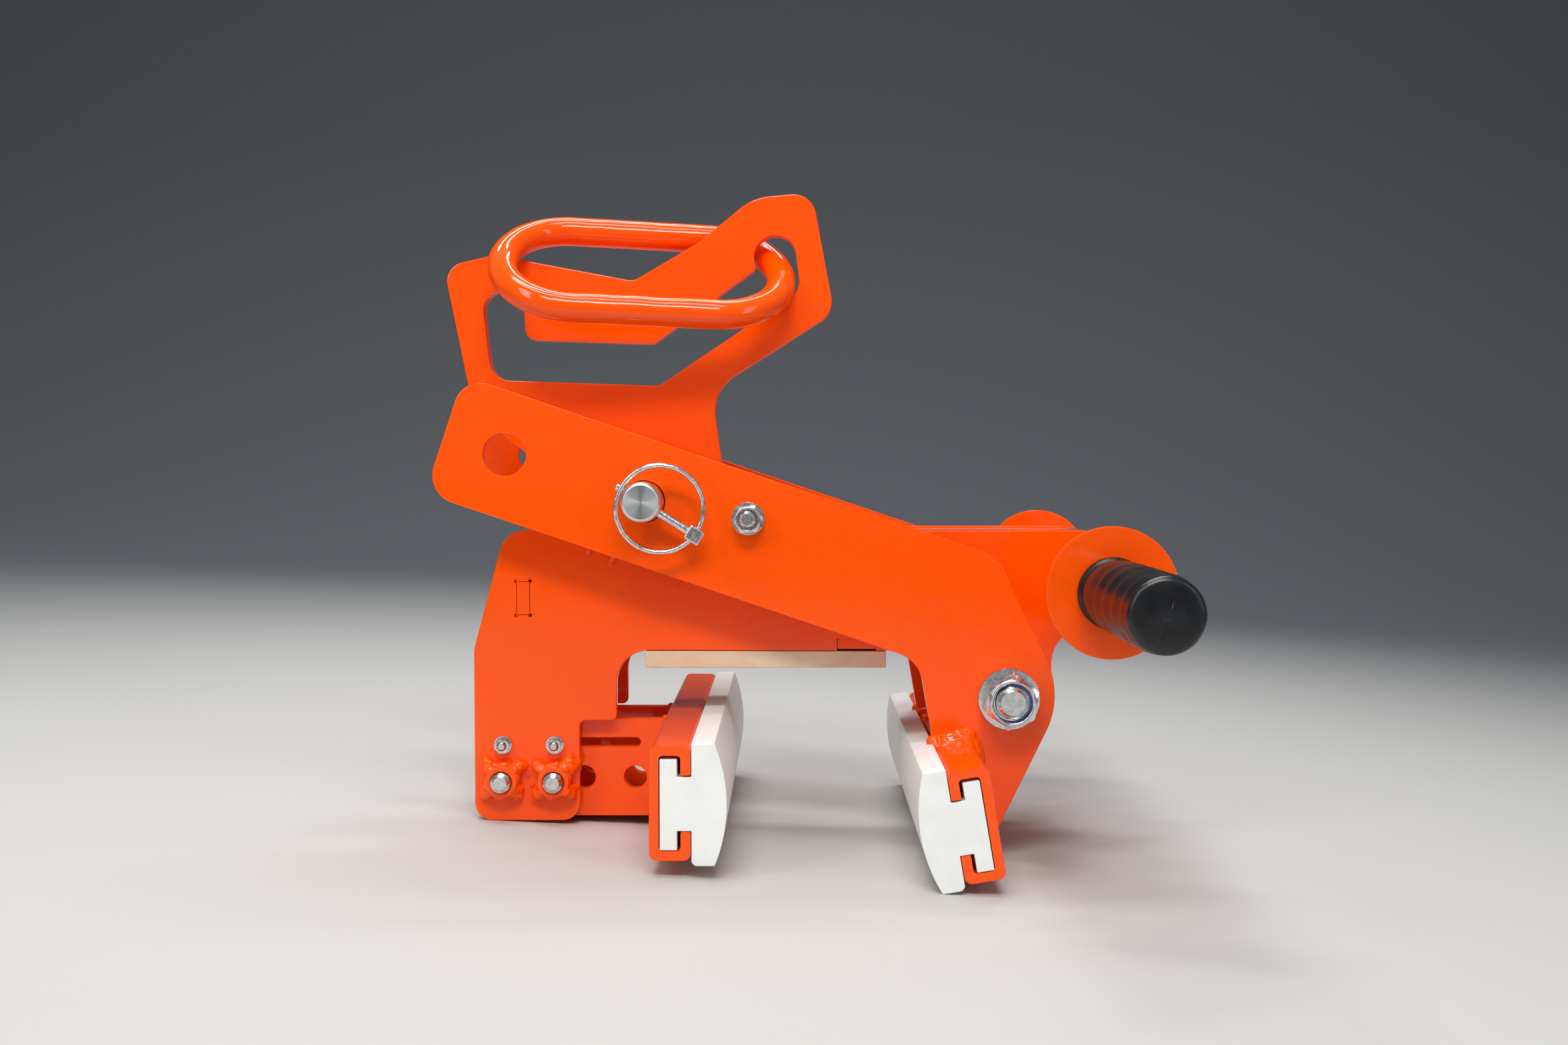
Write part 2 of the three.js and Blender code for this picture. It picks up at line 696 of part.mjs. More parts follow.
// Moving jaw, leaning with the arm
const movingJaw = jawPieces(false);
for (const geometry of Object.values(movingJaw)) {
  geometry.rotateY(-movingJawTilt).translate(-movingJawBack, 0, -movingJawDrop);
}
addPiece('moving_jaw_channel', movingJaw.channel, paint);
addPiece('moving_jaw_pad', movingJaw.pad, whitePad);
addPiece('moving_pad_bolt_front', movingJaw.boltFront, zinc);
addPiece('moving_pad_bolt_rear', movingJaw.boltRear, zinc);

// Carrier: an open channel that slides in the leg and carries the fixed jaw
const carrierTail = -frameBack + carrierTailInset;
const carrierNose = -fixedJawBack - seat;
const carrierHalf = carrierWidth / 2;
const carrierFoot = carrierFootRise - legDrop;
const carrierOuter = box(carrierTail, carrierNose, -carrierHalf, carrierHalf, carrierFoot, -carrierTopDrop);
const carrierInner = box(
  carrierTail - overrun, carrierNose + overrun,
  -carrierHalf + carrierWall, carrierHalf - carrierWall,
  carrierFoot + carrierWall, -carrierTopDrop + overrun,
);
const clampHoles = [...clampColumns, ...clampColumns.map((x) => x + clampStep)].map((x) => (
  rodAcross(x, -clampDrop, clampHoleRadius, -carrierHalf - overrun, carrierHalf + overrun, smallSides)
));
const guideSlot = plateAcross(shapeWithHoles(roundedOutline([
  { x: carrierTail + carrierWall, z: -guideDrop - guideSlotHeight / 2, r: guideSlotHeight / 2 },
  { x: carrierNose - guideSlotEnd, z: -guideDrop - guideSlotHeight / 2, r: guideSlotHeight / 2 },
  { x: carrierNose - guideSlotEnd, z: -guideDrop + guideSlotHeight / 2, r: guideSlotHeight / 2 },
  { x: carrierTail + carrierWall, z: -guideDrop + guideSlotHeight / 2, r: guideSlotHeight / 2 },
])), -carrierHalf - overrun, carrierHalf + overrun);
addPiece('carrier', cut(carrierOuter, carrierInner, ...clampHoles, guideSlot), paint);

// Clamp screws run from a head at the rear to a nut welded on the front plate
const weldNutNear = -frameHalf - seat - weldNutHeight;
const headSeat = frameHalf + seat;
function clampScrew(x) {
  const tip = weldNutNear - clampEndStand;
  const shank = rodAcross(x, -clampDrop, clampRadius, tip, headSeat + overrun, smallSides);
  return join(shank, hexAcross(x, -clampDrop, clampHeadFlats, 0, headSeat, headSeat + clampHeadHeight));
}
function weldNut(x) {
  return hexAcross(x, -clampDrop, weldNutFlats, clampRadius + fit, weldNutNear, -frameHalf - seat);
}
addPiece('clamp_screw_left', clampScrew(clampColumns[0]), zinc);
addPiece('clamp_screw_right', clampScrew(clampColumns[1]), zinc);
addPiece('weld_nut_left', weldNut(clampColumns[0]), paint);
addPiece('weld_nut_right', weldNut(clampColumns[1]), paint);

// Guide screws run through the carrier's long slot
const guideWasherNear = -frameHalf - seat - guideWasherThickness;
const guideNutNear = guideWasherNear - seat - guideNutHeight;
function guideScrew(x) {
  const tip = guideNutNear - guideEndStand;
  const shank = rodAcross(x, -guideDrop, guideRadius, tip, headSeat + guideRadius / 2, smallSides);
  return join(shank, rodAcross(x, -guideDrop, 2 * guideRadius, headSeat, headSeat + guideRadius, smallSides));
}
function guideWasher(x) {
  const bore = guideRadius + fit;
  return ringAcross(x, -guideDrop, guideWasherRadius, bore, guideWasherNear, -frameHalf - seat, smallSides);
}
function guideNut(x) {
  const far = guideNutNear + guideNutHeight;
  return hexAcross(x, -guideDrop, guideNutFlats, guideRadius + fit, guideNutNear, far);
}
addPiece('guide_screw_left', guideScrew(clampColumns[0]), zinc);
addPiece('guide_screw_right', guideScrew(clampColumns[1]), zinc);
addPiece('guide_washer_left', guideWasher(clampColumns[0]), zinc);
addPiece('guide_washer_right', guideWasher(clampColumns[1]), zinc);
addPiece('guide_nut_left', guideNut(clampColumns[0]), zinc);
addPiece('guide_nut_right', guideNut(clampColumns[1]), zinc);

// Arm plates: a straight bar, an elbow over the pivot and a leg that holds the moving channel
function armPlateShape() {
  const channelFront = onMovingJaw(-channelDepth, 0);
  const channelFrontLow = onMovingJaw(-channelDepth, channelHeight);
  const crotch = meet(channelFront, channelFrontLow, onBar(0, barBottom), onBar(barReach, barBottom));
  const corners = [
    { ...onBar(barReach, barTop), r: barUpperEndRadius },
    { ...onBar(barReach, barBottom), r: barLowerEndRadius },
    { ...crotch, r: legInnerRadius },
    onMovingJaw(-channelDepth, -seat),
    onMovingJaw(seat, -seat),
    onMovingJaw(seat, channelHeight - toeGapToFoot),
    { ...onMovingJaw(toeThickness, channelHeight - toeGapToFoot), r: seat },
    { x: heelReach, z: heelRise, r: heelRadius },
    { ...onBar(elbowReach, barTop), r: elbowRadius },
  ];
  const holes = [
    circlePoints(0, 0, pivotRadius + fit),
    circlePoints(stop.x, stop.z, stopRadius + fit, smallSides),
    circlePoints(pin.x, pin.z, pinRadius + fit),
    circlePoints(sparePin.x, sparePin.z, pinHoleRadius),
  ];
  return shapeWithHoles(roundedOutline(corners), holes);
}

addPiece('arm_plate_front', plateAcross(armPlateShape(), -armHalf, -armInner), paint);
addPiece('arm_plate_rear', plateAcross(armPlateShape(), armInner, armHalf), paint);

// Pivot bolt: head and washer at the rear, washer and locking nut at the front
const pivotWasherNear = -armHalf - seat - pivotWasherThickness;
const pivotNutNear = pivotWasherNear - seat - pivotNutHeight;
const pivotCollarNear = pivotNutNear - pivotCollarHeight;
const pivotHeadNear = armHalf + seat + pivotWasherThickness + seat;
addPiece('pivot_bolt', join(
  rodAcross(0, 0, pivotRadius, pivotCollarNear - pivotEndStand, pivotHeadNear + overrun),
  hexAcross(0, 0, pivotNutFlats, 0, pivotHeadNear, pivotHeadNear + pivotHeadHeight),
), zinc);
function pivotWasher(near) {
  return ringAcross(0, 0, pivotWasherRadius, pivotRadius + fit, near, near + pivotWasherThickness);
}
addPiece('pivot_washer_front', pivotWasher(pivotWasherNear), zinc);
addPiece('pivot_washer_rear', pivotWasher(armHalf + seat), zinc);
addPiece('pivot_nut', join(
  hexAcross(0, 0, pivotNutFlats, pivotRadius + fit, pivotNutNear, pivotNutNear + pivotNutHeight),
  ringAcross(
    0, 0,
    pivotCollarRadius, pivotCollarRadius - pivotCollarWall,
    pivotCollarNear, pivotNutNear + overrun,
  ),
), zinc);
addPiece('pivot_nut_insert', ringAcross(
  0, 0,
  pivotCollarRadius - pivotCollarWall - fit, pivotRadius + fit,
  pivotNutNear - seat - pivotInsertHeight, pivotNutNear - seat,
), blueInsert);

// Stop bolt with its tubes, washers and nut
const stopWasherNear = -armHalf - seat - stopWasherThickness;
const stopNutNear = stopWasherNear - seat - stopNutHeight;
const stopHeadNear = armHalf + seat + stopWasherThickness + seat;
const stopBore = stopRadius + fit;
addPiece('stop_bolt', join(
  rodAcross(stop.x, stop.z, stopRadius, stopNutNear - stopEndStand, stopHeadNear + overrun, smallSides),
  hexAcross(stop.x, stop.z, stopNutFlats, 0, stopHeadNear, stopHeadNear + stopHeadHeight),
), zinc);
function stopWasher(near) {
  const far = near + stopWasherThickness;
  return ringAcross(stop.x, stop.z, stopWasherRadius, stopBore, near, far, smallSides);
}
addPiece('stop_washer_front', stopWasher(stopWasherNear), zinc);
addPiece('stop_washer_rear', stopWasher(armHalf + seat), zinc);
addPiece('stop_nut', hexAcross(
  stop.x, stop.z, stopNutFlats, stopBore, stopNutNear, stopNutNear + stopNutHeight,
), zinc);

// Tubes hold the suspension plate midway between the arm plates.
function spacer(place, outer, bore, side) {
  const inside = suspensionHalf + seat;
  const outside = armInner - seat;
  const near = side < 0 ? -outside : inside;
  return ringAcross(place.x, place.z, outer, bore, near, near + outside - inside);
}
addPiece('stop_tube_front', spacer(stop, stopTubeRadius, stopBore, -1), zinc);
addPiece('stop_tube_rear', spacer(stop, stopTubeRadius, stopBore, 1), zinc);

// Lifting pin: chamfered at the front, headed at the rear, cross-bored for the linchpin
const pinFront = -armHalf - pinStand;
const linchpinY = pinFront + linchpinFromEnd;
const pinHeadNear = armHalf + seat;
const pinBody = turnedAcross(pin.x, pin.z, [
  [0, pinFront],
  [pinRadius - pinChamfer, pinFront],
  [pinRadius, pinFront + pinChamfer],
  [pinRadius, pinHeadNear],
  [pinHeadRadius, pinHeadNear],
  [pinHeadRadius, pinHeadNear + pinHeadHeight],
  [0, pinHeadNear + pinHeadHeight],
]);

// Lays a piece made along +X from the pin's axis down along the linchpin's slope.
function alongLinchpin(geometry) {
  return geometry.rotateY(linchpinSlope).translate(pin.x, linchpinY, pin.z);
}
const linchpinHole = alongLinchpin(alongX(
  linchpinRadius + fit, -pinRadius - overrun, pinRadius + overrun, 0, 0,
));
addPiece('lifting_pin', cut(pinBody, linchpinHole), turnedSteel);

addPiece('pin_tube_front', spacer(pin, pinTubeRadius, pinRadius + fit, -1), paint);
addPiece('pin_tube_rear', spacer(pin, pinTubeRadius, pinRadius + fit, 1), paint);

// Linchpin: a round shank with a head block that the ring turns in
const headHalf = headBlockLength / 2;
const blockHalf = headBlockWidth / 2;
const linchpinShank = alongX(linchpinRadius, -linchpinTip, linchpinHead, 0, 0);
const headBlock = box(
  linchpinHead - headHalf, linchpinHead + headHalf, -blockHalf, blockHalf, -blockHalf, blockHalf,
);
const ringBore = new THREE.CylinderGeometry(
  headBlockBore, headBlockBore, headBlockWidth + 2 * overrun, smallSides,
).rotateX(Math.PI / 2).translate(linchpinHead, 0, 0);
addPiece('linchpin', alongLinchpin(cut(join(linchpinShank, headBlock), ringBore)), zinc);

// Ring: it turns in the head block and lies over the linchpin's tip
const ringLift = Math.asin((linchpinRadius + ringWire + ringCrossGap) / (2 * ringRadius - headHalf));
const ring = new THREE.TorusGeometry(ringRadius, ringWire, 8, roundSides).rotateX(Math.PI / 2);
ring.translate(-ringRadius, 0, 0).rotateY(ringTwist).rotateZ(ringLift).translate(linchpinHead, 0, 0);
addPiece('linchpin_ring', alongLinchpin(ring), zinc);

// Suspension plate: its corners are shares of its height, counted from the pin's axis.
// Each row holds the place across, the place up and the corner's radius.
const crownShares = [
  [-0.587, 0.291, 0.064],
  [-0.681, 0.760, 0.064],
  [-0.514, 0.798, 0.025],
  [-0.060, 0.713, 0.051],
  [0.158, 0.840, 0.191],
  [0.330, 0.982, 0.178],
  [0.524, 1.000, 0.076],
  [0.597, 0.608, 0.076],
  [0.196, 0.355, 0.140],
  [0.239, 0.045, 0.038],
];
const footShares = [-0.067, 0.121];
const slotShares = [
  [-0.557, 0.681, 0.066],
  [-0.423, 0.681, 0.063],
  [-0.413, 0.520, 0.038],
  [0.006, 0.506, 0.019],
  [0.341, 0.749, 0.010],
  [0.321, 0.862, 0.070],
  [0.464, 0.856, 0.067],
  [0.485, 0.681, 0.064],
  [0.023, 0.371, 0.051],
  [-0.525, 0.390, 0.070],
];

function fromPin([across, up, radius]) {
  return {
    x: pin.x + across * suspensionHeight,
    z: pin.z + up * suspensionHeight,
    r: radius * suspensionHeight,
  };
}

const suspensionOutline = roundedOutline([
  ...crownShares.map(fromPin),
  { x: stop.x + suspensionFootRadius, z: stop.z + suspensionFootRadius, r: suspensionFootRadius },
  { x: stop.x + suspensionFootRadius, z: stop.z - suspensionFootRadius, r: suspensionFootRadius },
  {
    x: pin.x + footShares[0] * suspensionHeight,
    z: stop.z - suspensionFootRadius,
    r: footShares[1] * suspensionHeight,
  },
]);
const suspensionHoles = [
  roundedOutline(slotShares.map(fromPin)),
  circlePoints(pin.x, pin.z, pinRadius + fit),
  circlePoints(stop.x, stop.z, stopBore, smallSides),
];
addPiece('suspension_plate', plateAcross(
  shapeWithHoles(suspensionOutline, suspensionHoles),
  -suspensionHalf, suspensionHalf,
), paint);

// Lifting link: two half rings and two straight bars, closed into one oval of round bar
const linkWire = linkWireShare * suspensionHeight;
const linkLength = linkLengthShare * suspensionHeight;
const linkWidth = linkWidthShare * suspensionHeight;
const linkEnd = new THREE.TorusGeometry(linkWidth / 2, linkWire, linkSides, roundSides / 2, Math.PI);
const linkStraight = linkLength - linkWidth;
const linkBar = new THREE.CylinderGeometry(linkWire, linkWire, linkStraight, linkSides, 1, true);
const linkSkins = [
  linkEnd.clone().translate(0, linkStraight / 2, 0),
  linkEnd.clone().rotateZ(Math.PI).translate(0, -linkStraight / 2, 0),
  linkBar.clone().translate(linkWidth / 2, 0, 0),
  linkBar.clone().translate(-linkWidth / 2, 0, 0),
];
const linkSkin = mergeGeometries(linkSkins);
linkSkin.deleteAttribute('normal');
linkSkin.deleteAttribute('uv');
const link = mergeVertices(linkSkin, samePoint * linkLength);
link.rotateZ(Math.PI / 2).rotateX(linkLean).rotateZ(linkYaw).rotateY(linkFall);
link.translate(
  pin.x - linkSideShare * suspensionHeight,
  -linkForwardShare * suspensionHeight,
  pin.z + linkAboveShare * suspensionHeight,
);
addPiece('lifting_link', link, paint);

// The clamp stands on the leg's foot and the moving pad's foot: find the lean that puts both down.
const padFoot = onMovingJaw(-channelDepth - seat - padEdgeDepth, padBodyHeight - padRise);
const footCentre = { x: -frameBack + footRadius, z: -legDrop + footRadius };
const across = padFoot.x - footCentre.x;
const drop = padFoot.z - footCentre.z;
const stand = Math.asin(-footRadius / Math.hypot(across, drop)) - Math.atan2(drop, across);
clamp.rotation.y = -stand;
clamp.updateMatrixWorld(true);
const bounds = new THREE.Box3().setFromObject(clamp, true);
const middle = bounds.getCenter(new THREE.Vector3());
clamp.position.set(-middle.x, -middle.y, -bounds.min.z);

export default clamp;
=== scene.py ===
import json
import math
import random

import bmesh
import bpy
from mathutils import Matrix, Vector, noise
from mathutils.geometry import delaunay_2d_cdt


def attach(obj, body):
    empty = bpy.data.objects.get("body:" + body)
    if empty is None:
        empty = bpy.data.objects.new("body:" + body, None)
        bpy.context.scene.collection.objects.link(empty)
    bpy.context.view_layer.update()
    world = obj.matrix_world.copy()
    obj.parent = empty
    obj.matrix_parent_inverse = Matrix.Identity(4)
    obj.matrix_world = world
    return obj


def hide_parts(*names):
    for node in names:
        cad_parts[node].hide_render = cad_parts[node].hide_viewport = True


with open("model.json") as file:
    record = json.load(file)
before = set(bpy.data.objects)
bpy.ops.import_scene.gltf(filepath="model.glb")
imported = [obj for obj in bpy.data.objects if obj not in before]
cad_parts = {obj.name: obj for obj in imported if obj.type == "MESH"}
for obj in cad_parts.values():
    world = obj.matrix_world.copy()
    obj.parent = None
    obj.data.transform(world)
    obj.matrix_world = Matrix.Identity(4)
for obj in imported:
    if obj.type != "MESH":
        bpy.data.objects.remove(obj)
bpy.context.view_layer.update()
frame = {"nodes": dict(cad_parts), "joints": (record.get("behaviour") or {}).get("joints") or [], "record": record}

# The level frame: millimetres from the pivot's axis, with the beam level. The clamp leans a
# little on the floor, and every piece is drawn level and then set down with this matrix.
MM = 0.001
joints = {joint["name"]: joint for joint in frame["joints"]}
mounts = {mount["name"]: mount for mount in frame["record"]["mounts"]}
body_of = {
    node: body
    for body, nodes in frame["record"]["behaviour"]["bodies"].items()
    for node in nodes
}
lean = math.asin(mounts["stone_rest"]["axis"][0])
level = (
    Matrix.Translation(joints["arm_pivot"]["pos_m"])
    @ Matrix.Rotation(-lean, 4, "Y")
    @ Matrix.Scale(MM, 4)
)

# Places across the clamp, from its middle
frame_outer = 30.5
arm_inner, arm_outer = 48.4, 53.4
hanger_outer = 5.0
disc_inner, disc_thickness = 111.7, 4.0
tube_end = 217.5
seat = 0.3  # between pieces that touch

# Radii
pivot_radius, stop_radius, pin_radius, tube_radius = 8, 4, 10, 12.5

# Places along and up, from the pivot
arm_slope = math.radians(18.7)
handle_x, handle_z = 38.2, 56.6
clamp_columns = (-250.9, -224.8)
clamp_z, guide_z = -44.8, -27.0
stop_x, stop_z = -126.9, 87.7
jaw_tilt = math.radians(9.7)
jaw_length = 244.0
channel_depth, channel_height = 18.7, 51.7


def on_bar(reach, rise):
    """A point of the arm's sloping bar, as (x, z)."""
    c, s = math.cos(arm_slope), math.sin(arm_slope)
    return -reach * c + rise * s, reach * s + rise * c


pin_x, pin_z = on_bar(199, 34)

# Finishes


def linear(code):
    """An sRGB hex colour as the linear colour that a shader takes."""
    parts = [int(code[k : k + 2], 16) / 255 for k in (1, 3, 5)]
    return [p / 12.92 if p <= 0.04045 else ((p + 0.055) / 1.055) ** 2.4 for p in parts] + [1]


def add(tree, kind, inputs=(), **settings):
    """Adds a node with its settings, and its inputs as numbers or as links."""
    made = tree.nodes.new("ShaderNode" + kind)
    for key, value in settings.items():
        setattr(made, key, value)
    for key, value in dict(inputs).items():
        if isinstance(value, bpy.types.NodeSocket):
            tree.links.new(value, made.inputs[key])
        else:
            made.inputs[key].default_value = value
    return made


def surface(name, **constants):
    """A new material: its tree, its shader and the object coordinates."""
    material = bpy.data.materials.new(name)
    material.use_nodes = True
    tree = material.node_tree
    shader = tree.nodes["Principled BSDF"]
    for key, value in constants.items():
        shader.inputs[key.replace("_", " ")].default_value = value
    return material, tree, shader, add(tree, "TexCoord").outputs["Object"]


def grains(tree, place, size_mm, detail=2.0, **settings):
    """Noise whose features are size_mm wide."""
    inputs = {"Vector": place, "Scale": 1 / (size_mm * MM), "Detail": detail}
    return add(tree, "TexNoise", inputs, **settings).outputs["Fac"]


def tones(tree, value, *stops):
    """Colours by value: stops are (position, hex)."""
    ramp = add(tree, "ValToRGB", {"Fac": value})
    while len(ramp.color_ramp.elements) < len(stops):
        ramp.color_ramp.elements.new(0.5)
    for element, (position, code) in zip(ramp.color_ramp.elements, stops):
        element.position, element.color = position, linear(code)
    return ramp.outputs["Color"]


def between(tree, value, low, high):
    """Value from 0.3 to 0.7, spread over low to high."""
    spread = {"Value": value, "From Min": 0.3, "From Max": 0.7, "To Min": low, "To Max": high}
    return add(tree, "MapRange", spread).outputs["Result"]


def relief(tree, shader, *layers):
    """Stacks bumps: layers are (height, depth in millimetres)."""
    normal = None
    for height, depth in layers:
        inputs = {"Height": height, "Distance": depth * MM, "Strength": 1.0}
        if normal:
            inputs["Normal"] = normal
        normal = add(tree, "Bump", inputs).outputs["Normal"]
    tree.links.new(normal, shader.inputs["Normal"])


def powder_coat():
    """Glossy polyester powder coat, baked on: it flows out to a faint orange peel, a few
    millimetres wide, that makes highlights waver, over a fine speckle."""
    material, tree, shader, place = surface("powder_coat_orange", Roughness=0.09, IOR=1.42)
    speckle = grains(tree, place, 0.8, 2)
    tone = tones(tree, speckle, (0.3, "#FC5000"), (0.7, "#FF5700"))
    tree.links.new(tone, shader.inputs["Base Color"])
    peel = grains(tree, place, 3.4, 1)
    relief(tree, shader, (grains(tree, place, 11, 1), 0.09), (peel, 0.035), (speckle, 0.003))
    return material


def zinc_plate():
    """Bright zinc plate on rolled or pressed steel: blotchy gloss and small dents."""
    material, tree, shader, place = surface("zinc_plated_steel", Metallic=1.0)
    cloud = grains(tree, place, 2.2, 4)
    tree.links.new(
        tones(tree, cloud, (0.3, "#C6C9CB"), (0.7, "#EBECEC")), shader.inputs["Base Color"]
    )
    gloss = grains(tree, place, 1.1, 5)
    tree.links.new(between(tree, gloss, 0.12, 0.32), shader.inputs["Roughness"])
    relief(tree, shader, (grains(tree, place, 2.6, 2), 0.025), (gloss, 0.007))
    return material


def turned_steel():
    """Steel turned on a lathe: rings round the pin's axis that fan the light out. They are drawn
    further apart than a lathe leaves them, so that they show."""
    ring_gap = 0.6 * MM
    rings_at_scale_one = 20 / (2 * math.pi)
    material, tree, shader, place = surface(
        "turned_steel", Metallic=1.0, Roughness=0.28, Anisotropic=0.85
    )
    centre = level @ Vector((pin_x, 0, pin_z))
    spot = add(tree, "Mapping", {"Vector": place, "Location": -centre}).outputs["Vector"]
    rings = add(
        tree,
        "TexWave",
        {"Vector": spot, "Scale": 1 / (rings_at_scale_one * ring_gap), "Distortion": 0.6},
        wave_type="RINGS",
        rings_direction="Y",
    ).outputs["Fac"]
    tree.links.new(
        tones(tree, rings, (0.0, "#D9DBDC"), (1.0, "#EEF0F0")), shader.inputs["Base Color"]
    )
    around = add(tree, "Tangent", direction_type="RADIAL", axis="Y").outputs["Tangent"]
    tree.links.new(around, shader.inputs["Tangent"])
    relief(tree, shader, (rings, 0.003), (grains(tree, place, 0.8, 3), 0.004))
    return material


def jaw_pad():
    """White high-density polyethylene, cut from plate: waxy and half matt, with faint cutter
    marks, and light goes a little way in."""
    material, tree, shader, place = surface(
        "polyethylene_white", Roughness=0.42, IOR=1.53, Subsurface_Weight=0.25
    )
    shader.inputs["Subsurface Radius"].default_value = (1.0, 0.95, 0.9)
    shader.inputs["Subsurface Scale"].default_value = 1.5 * MM
    cloud = grains(tree, place, 14, 3)
    tree.links.new(
        tones(tree, cloud, (0.35, "#ECEEEA"), (0.65, "#F2F3F0")), shader.inputs["Base Color"]
    )
    marks = add(tree, "Mapping", {"Vector": place, "Scale": (0.12, 1.0, 1.0)}).outputs["Vector"]
    relief(tree, shader, (grains(tree, marks, 1.4, 3), 0.03))
    return material


def nylon():
    """Natural cast nylon: creamy, half matt."""
    material, tree, shader, place = surface(
        "nylon_natural", Roughness=0.38, IOR=1.53, Subsurface_Weight=0.2
    )
    shader.inputs["Subsurface Radius"].default_value = (1.0, 0.8, 0.6)
    shader.inputs["Subsurface Scale"].default_value = 1.5 * MM
    cloud = grains(tree, place, 18, 3)
    tree.links.new(
        tones(tree, cloud, (0.35, "#DCC0A0"), (0.65, "#E6CFB2")), shader.inputs["Base Color"]
    )
    relief(tree, shader, (grains(tree, place, 1.2, 3), 0.02))
    return material


def grip_rubber():
    """Moulded black rubber: half gloss where the hand rubs it, with a fine bloom."""
    material, tree, shader, place = surface("moulded_rubber_black", IOR=1.52)
    cloud = grains(tree, place, 9, 4)
    tree.links.new(
        tones(tree, cloud, (0.35, "#0B0C0E"), (0.7, "#15171A")), shader.inputs["Base Color"]
    )
    tree.links.new(between(tree, cloud, 0.24, 0.36), shader.inputs["Roughness"])
    relief(tree, shader, (grains(tree, place, 0.6, 2), 0.012), (cloud, 0.1))
    return material


def nut_insert():
    """Blue nylon ring pressed in a locking nut."""
    material, tree, shader, place = surface("nylon_blue", Roughness=0.4, IOR=1.53)
    cloud = grains(tree, place, 2, 2)
    tree.links.new(
        tones(tree, cloud, (0.3, "#2F4F96"), (0.7, "#4166B4")), shader.inputs["Base Color"]
    )
    return material


finishes = {
    "powder_coat": powder_coat(),
    "zinc_plate": zinc_plate(),
    "turned_steel": turned_steel(),
    "jaw_pad": jaw_pad(),
    "nylon": nylon(),
    "grip_rubber": grip_rubber(),
    "nut_insert": nut_insert(),
}

# Shaping

# Two faces that meet at more than these angles have an edge that is rounded, that is shaded
# sharp, and that is a plate's rim
rounded_above, sharp_above, rim_above = (math.radians(degrees) for degrees in (32, 40, 60))


def make_piece(name, bm, finish, body, *nodes):
    """Sets a shape drawn in the level frame down as a piece that rides on a body and stands for
    CAD nodes, its shading smooth over all but its sharp edges."""
    bmesh.ops.transform(bm, matrix=level, verts=bm.verts)
    bmesh.ops.recalc_face_normals(bm, faces=bm.faces)
    for face in bm.faces:
        face.smooth = True
    for edge in bm.edges:
        edge.smooth = edge.is_manifold and edge.calc_face_angle() < sharp_above
    mesh = bpy.data.meshes.new(name)
    bm.to_mesh(mesh)
    bm.free()
    mesh.materials.append(finishes[finish])
    piece = bpy.data.objects.new(name, mesh)
    bpy.context.scene.collection.objects.link(piece)
    even = piece.modifiers.new("even_shading", "WEIGHTED_NORMAL")
    even.keep_sharp = True
    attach(piece, body)
    if nodes:
        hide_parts(*nodes)


# What the last step of making a piece did to it, by its finish
endings = {
    "powder_coat": "coated",
    "zinc_plate": "plated",
    "turned_steel": "turned",
    "jaw_pad": "cut",
    "nylon": "cut",
    "grip_rubber": "moulded",
    "nut_insert": "moulded",
}


def stand_in(node, bm, finish):
    """The piece that stands for one CAD node, named for it and for its last step."""
    make_piece(f"{node}_{endings[finish]}", bm, finish, body_of[node], node)


def soften(bm, width, segments=2):
    """Rounds the hard edges by width."""
    hard = [
        edge
        for edge in bm.edges
        if edge.is_manifold and edge.calc_face_angle() > rounded_above
    ]
    bmesh.ops.bevel(
        bm, geom=hard, offset=width, segments=segments, profile=0.5, affect="EDGES", material=-1
    )
    return bm


def cad_copy(node):
    """A CAD node's solid in the level frame, with its triangles merged into whole faces."""
    bm = bmesh.new()
    bm.from_mesh(frame["nodes"][node].data)
    bmesh.ops.transform(bm, matrix=level.inverted(), verts=bm.verts)
    bmesh.ops.remove_doubles(bm, verts=bm.verts, dist=0.01)
    bmesh.ops.dissolve_limit(
        bm, angle_limit=math.radians(0.5), verts=bm.verts, edges=bm.edges
    )
    return bm


def rounder(bm):
    """Makes the arcs of a plate's outline four times as fine, its new points on the arc."""
    for _ in range(2):
        bm.normal_update()
        rims = [
            edge
            for edge in bm.edges
            if edge.is_manifold
            and edge.calc_face_angle() > rim_above
            and abs(edge.verts[0].co.y - edge.verts[1].co.y) < 0.01
        ]
        in_rims = set(rims)
        pushes = {}
        for edge in rims:
            length, turns, alike = edge.calc_length(), [], False
            for vertex in edge.verts:
                for other in vertex.link_edges:
                    if other in in_rims and other is not edge:
                        alike = alike or abs(other.calc_length() / length - 1) < 0.03
                    run = other.other_vert(vertex).co - vertex.co
                    if other.is_manifold and abs(run.y) > 0.99 * run.length:
                        turns.append(other.calc_face_angle_signed())
            if length < 0.4 or len(turns) != 2 or not alike or turns[0] * turns[1] <= 0:
                continue
            turn = max(turns, key=abs)
            if not math.radians(1) < abs(turn) < math.radians(35):
                continue
            outward = min((face.normal for face in edge.link_faces), key=lambda n: abs(n.y))
            middle = (edge.verts[0].co + edge.verts[1].co) / 2
            pushes[edge] = (middle, outward * math.tan(turn / 4) * length / 2)
        made = bmesh.ops.subdivide_edges(bm, edges=list(pushes), cuts=1)["geom_inner"]
        by_place = {tuple(round(c, 2) for c in middle): push for middle, push in pushes.values()}
        for vertex in made:
            if isinstance(vertex, bmesh.types.BMVert):
                vertex.co += by_place.get(tuple(round(c, 2) for c in vertex.co), Vector())
    return bm


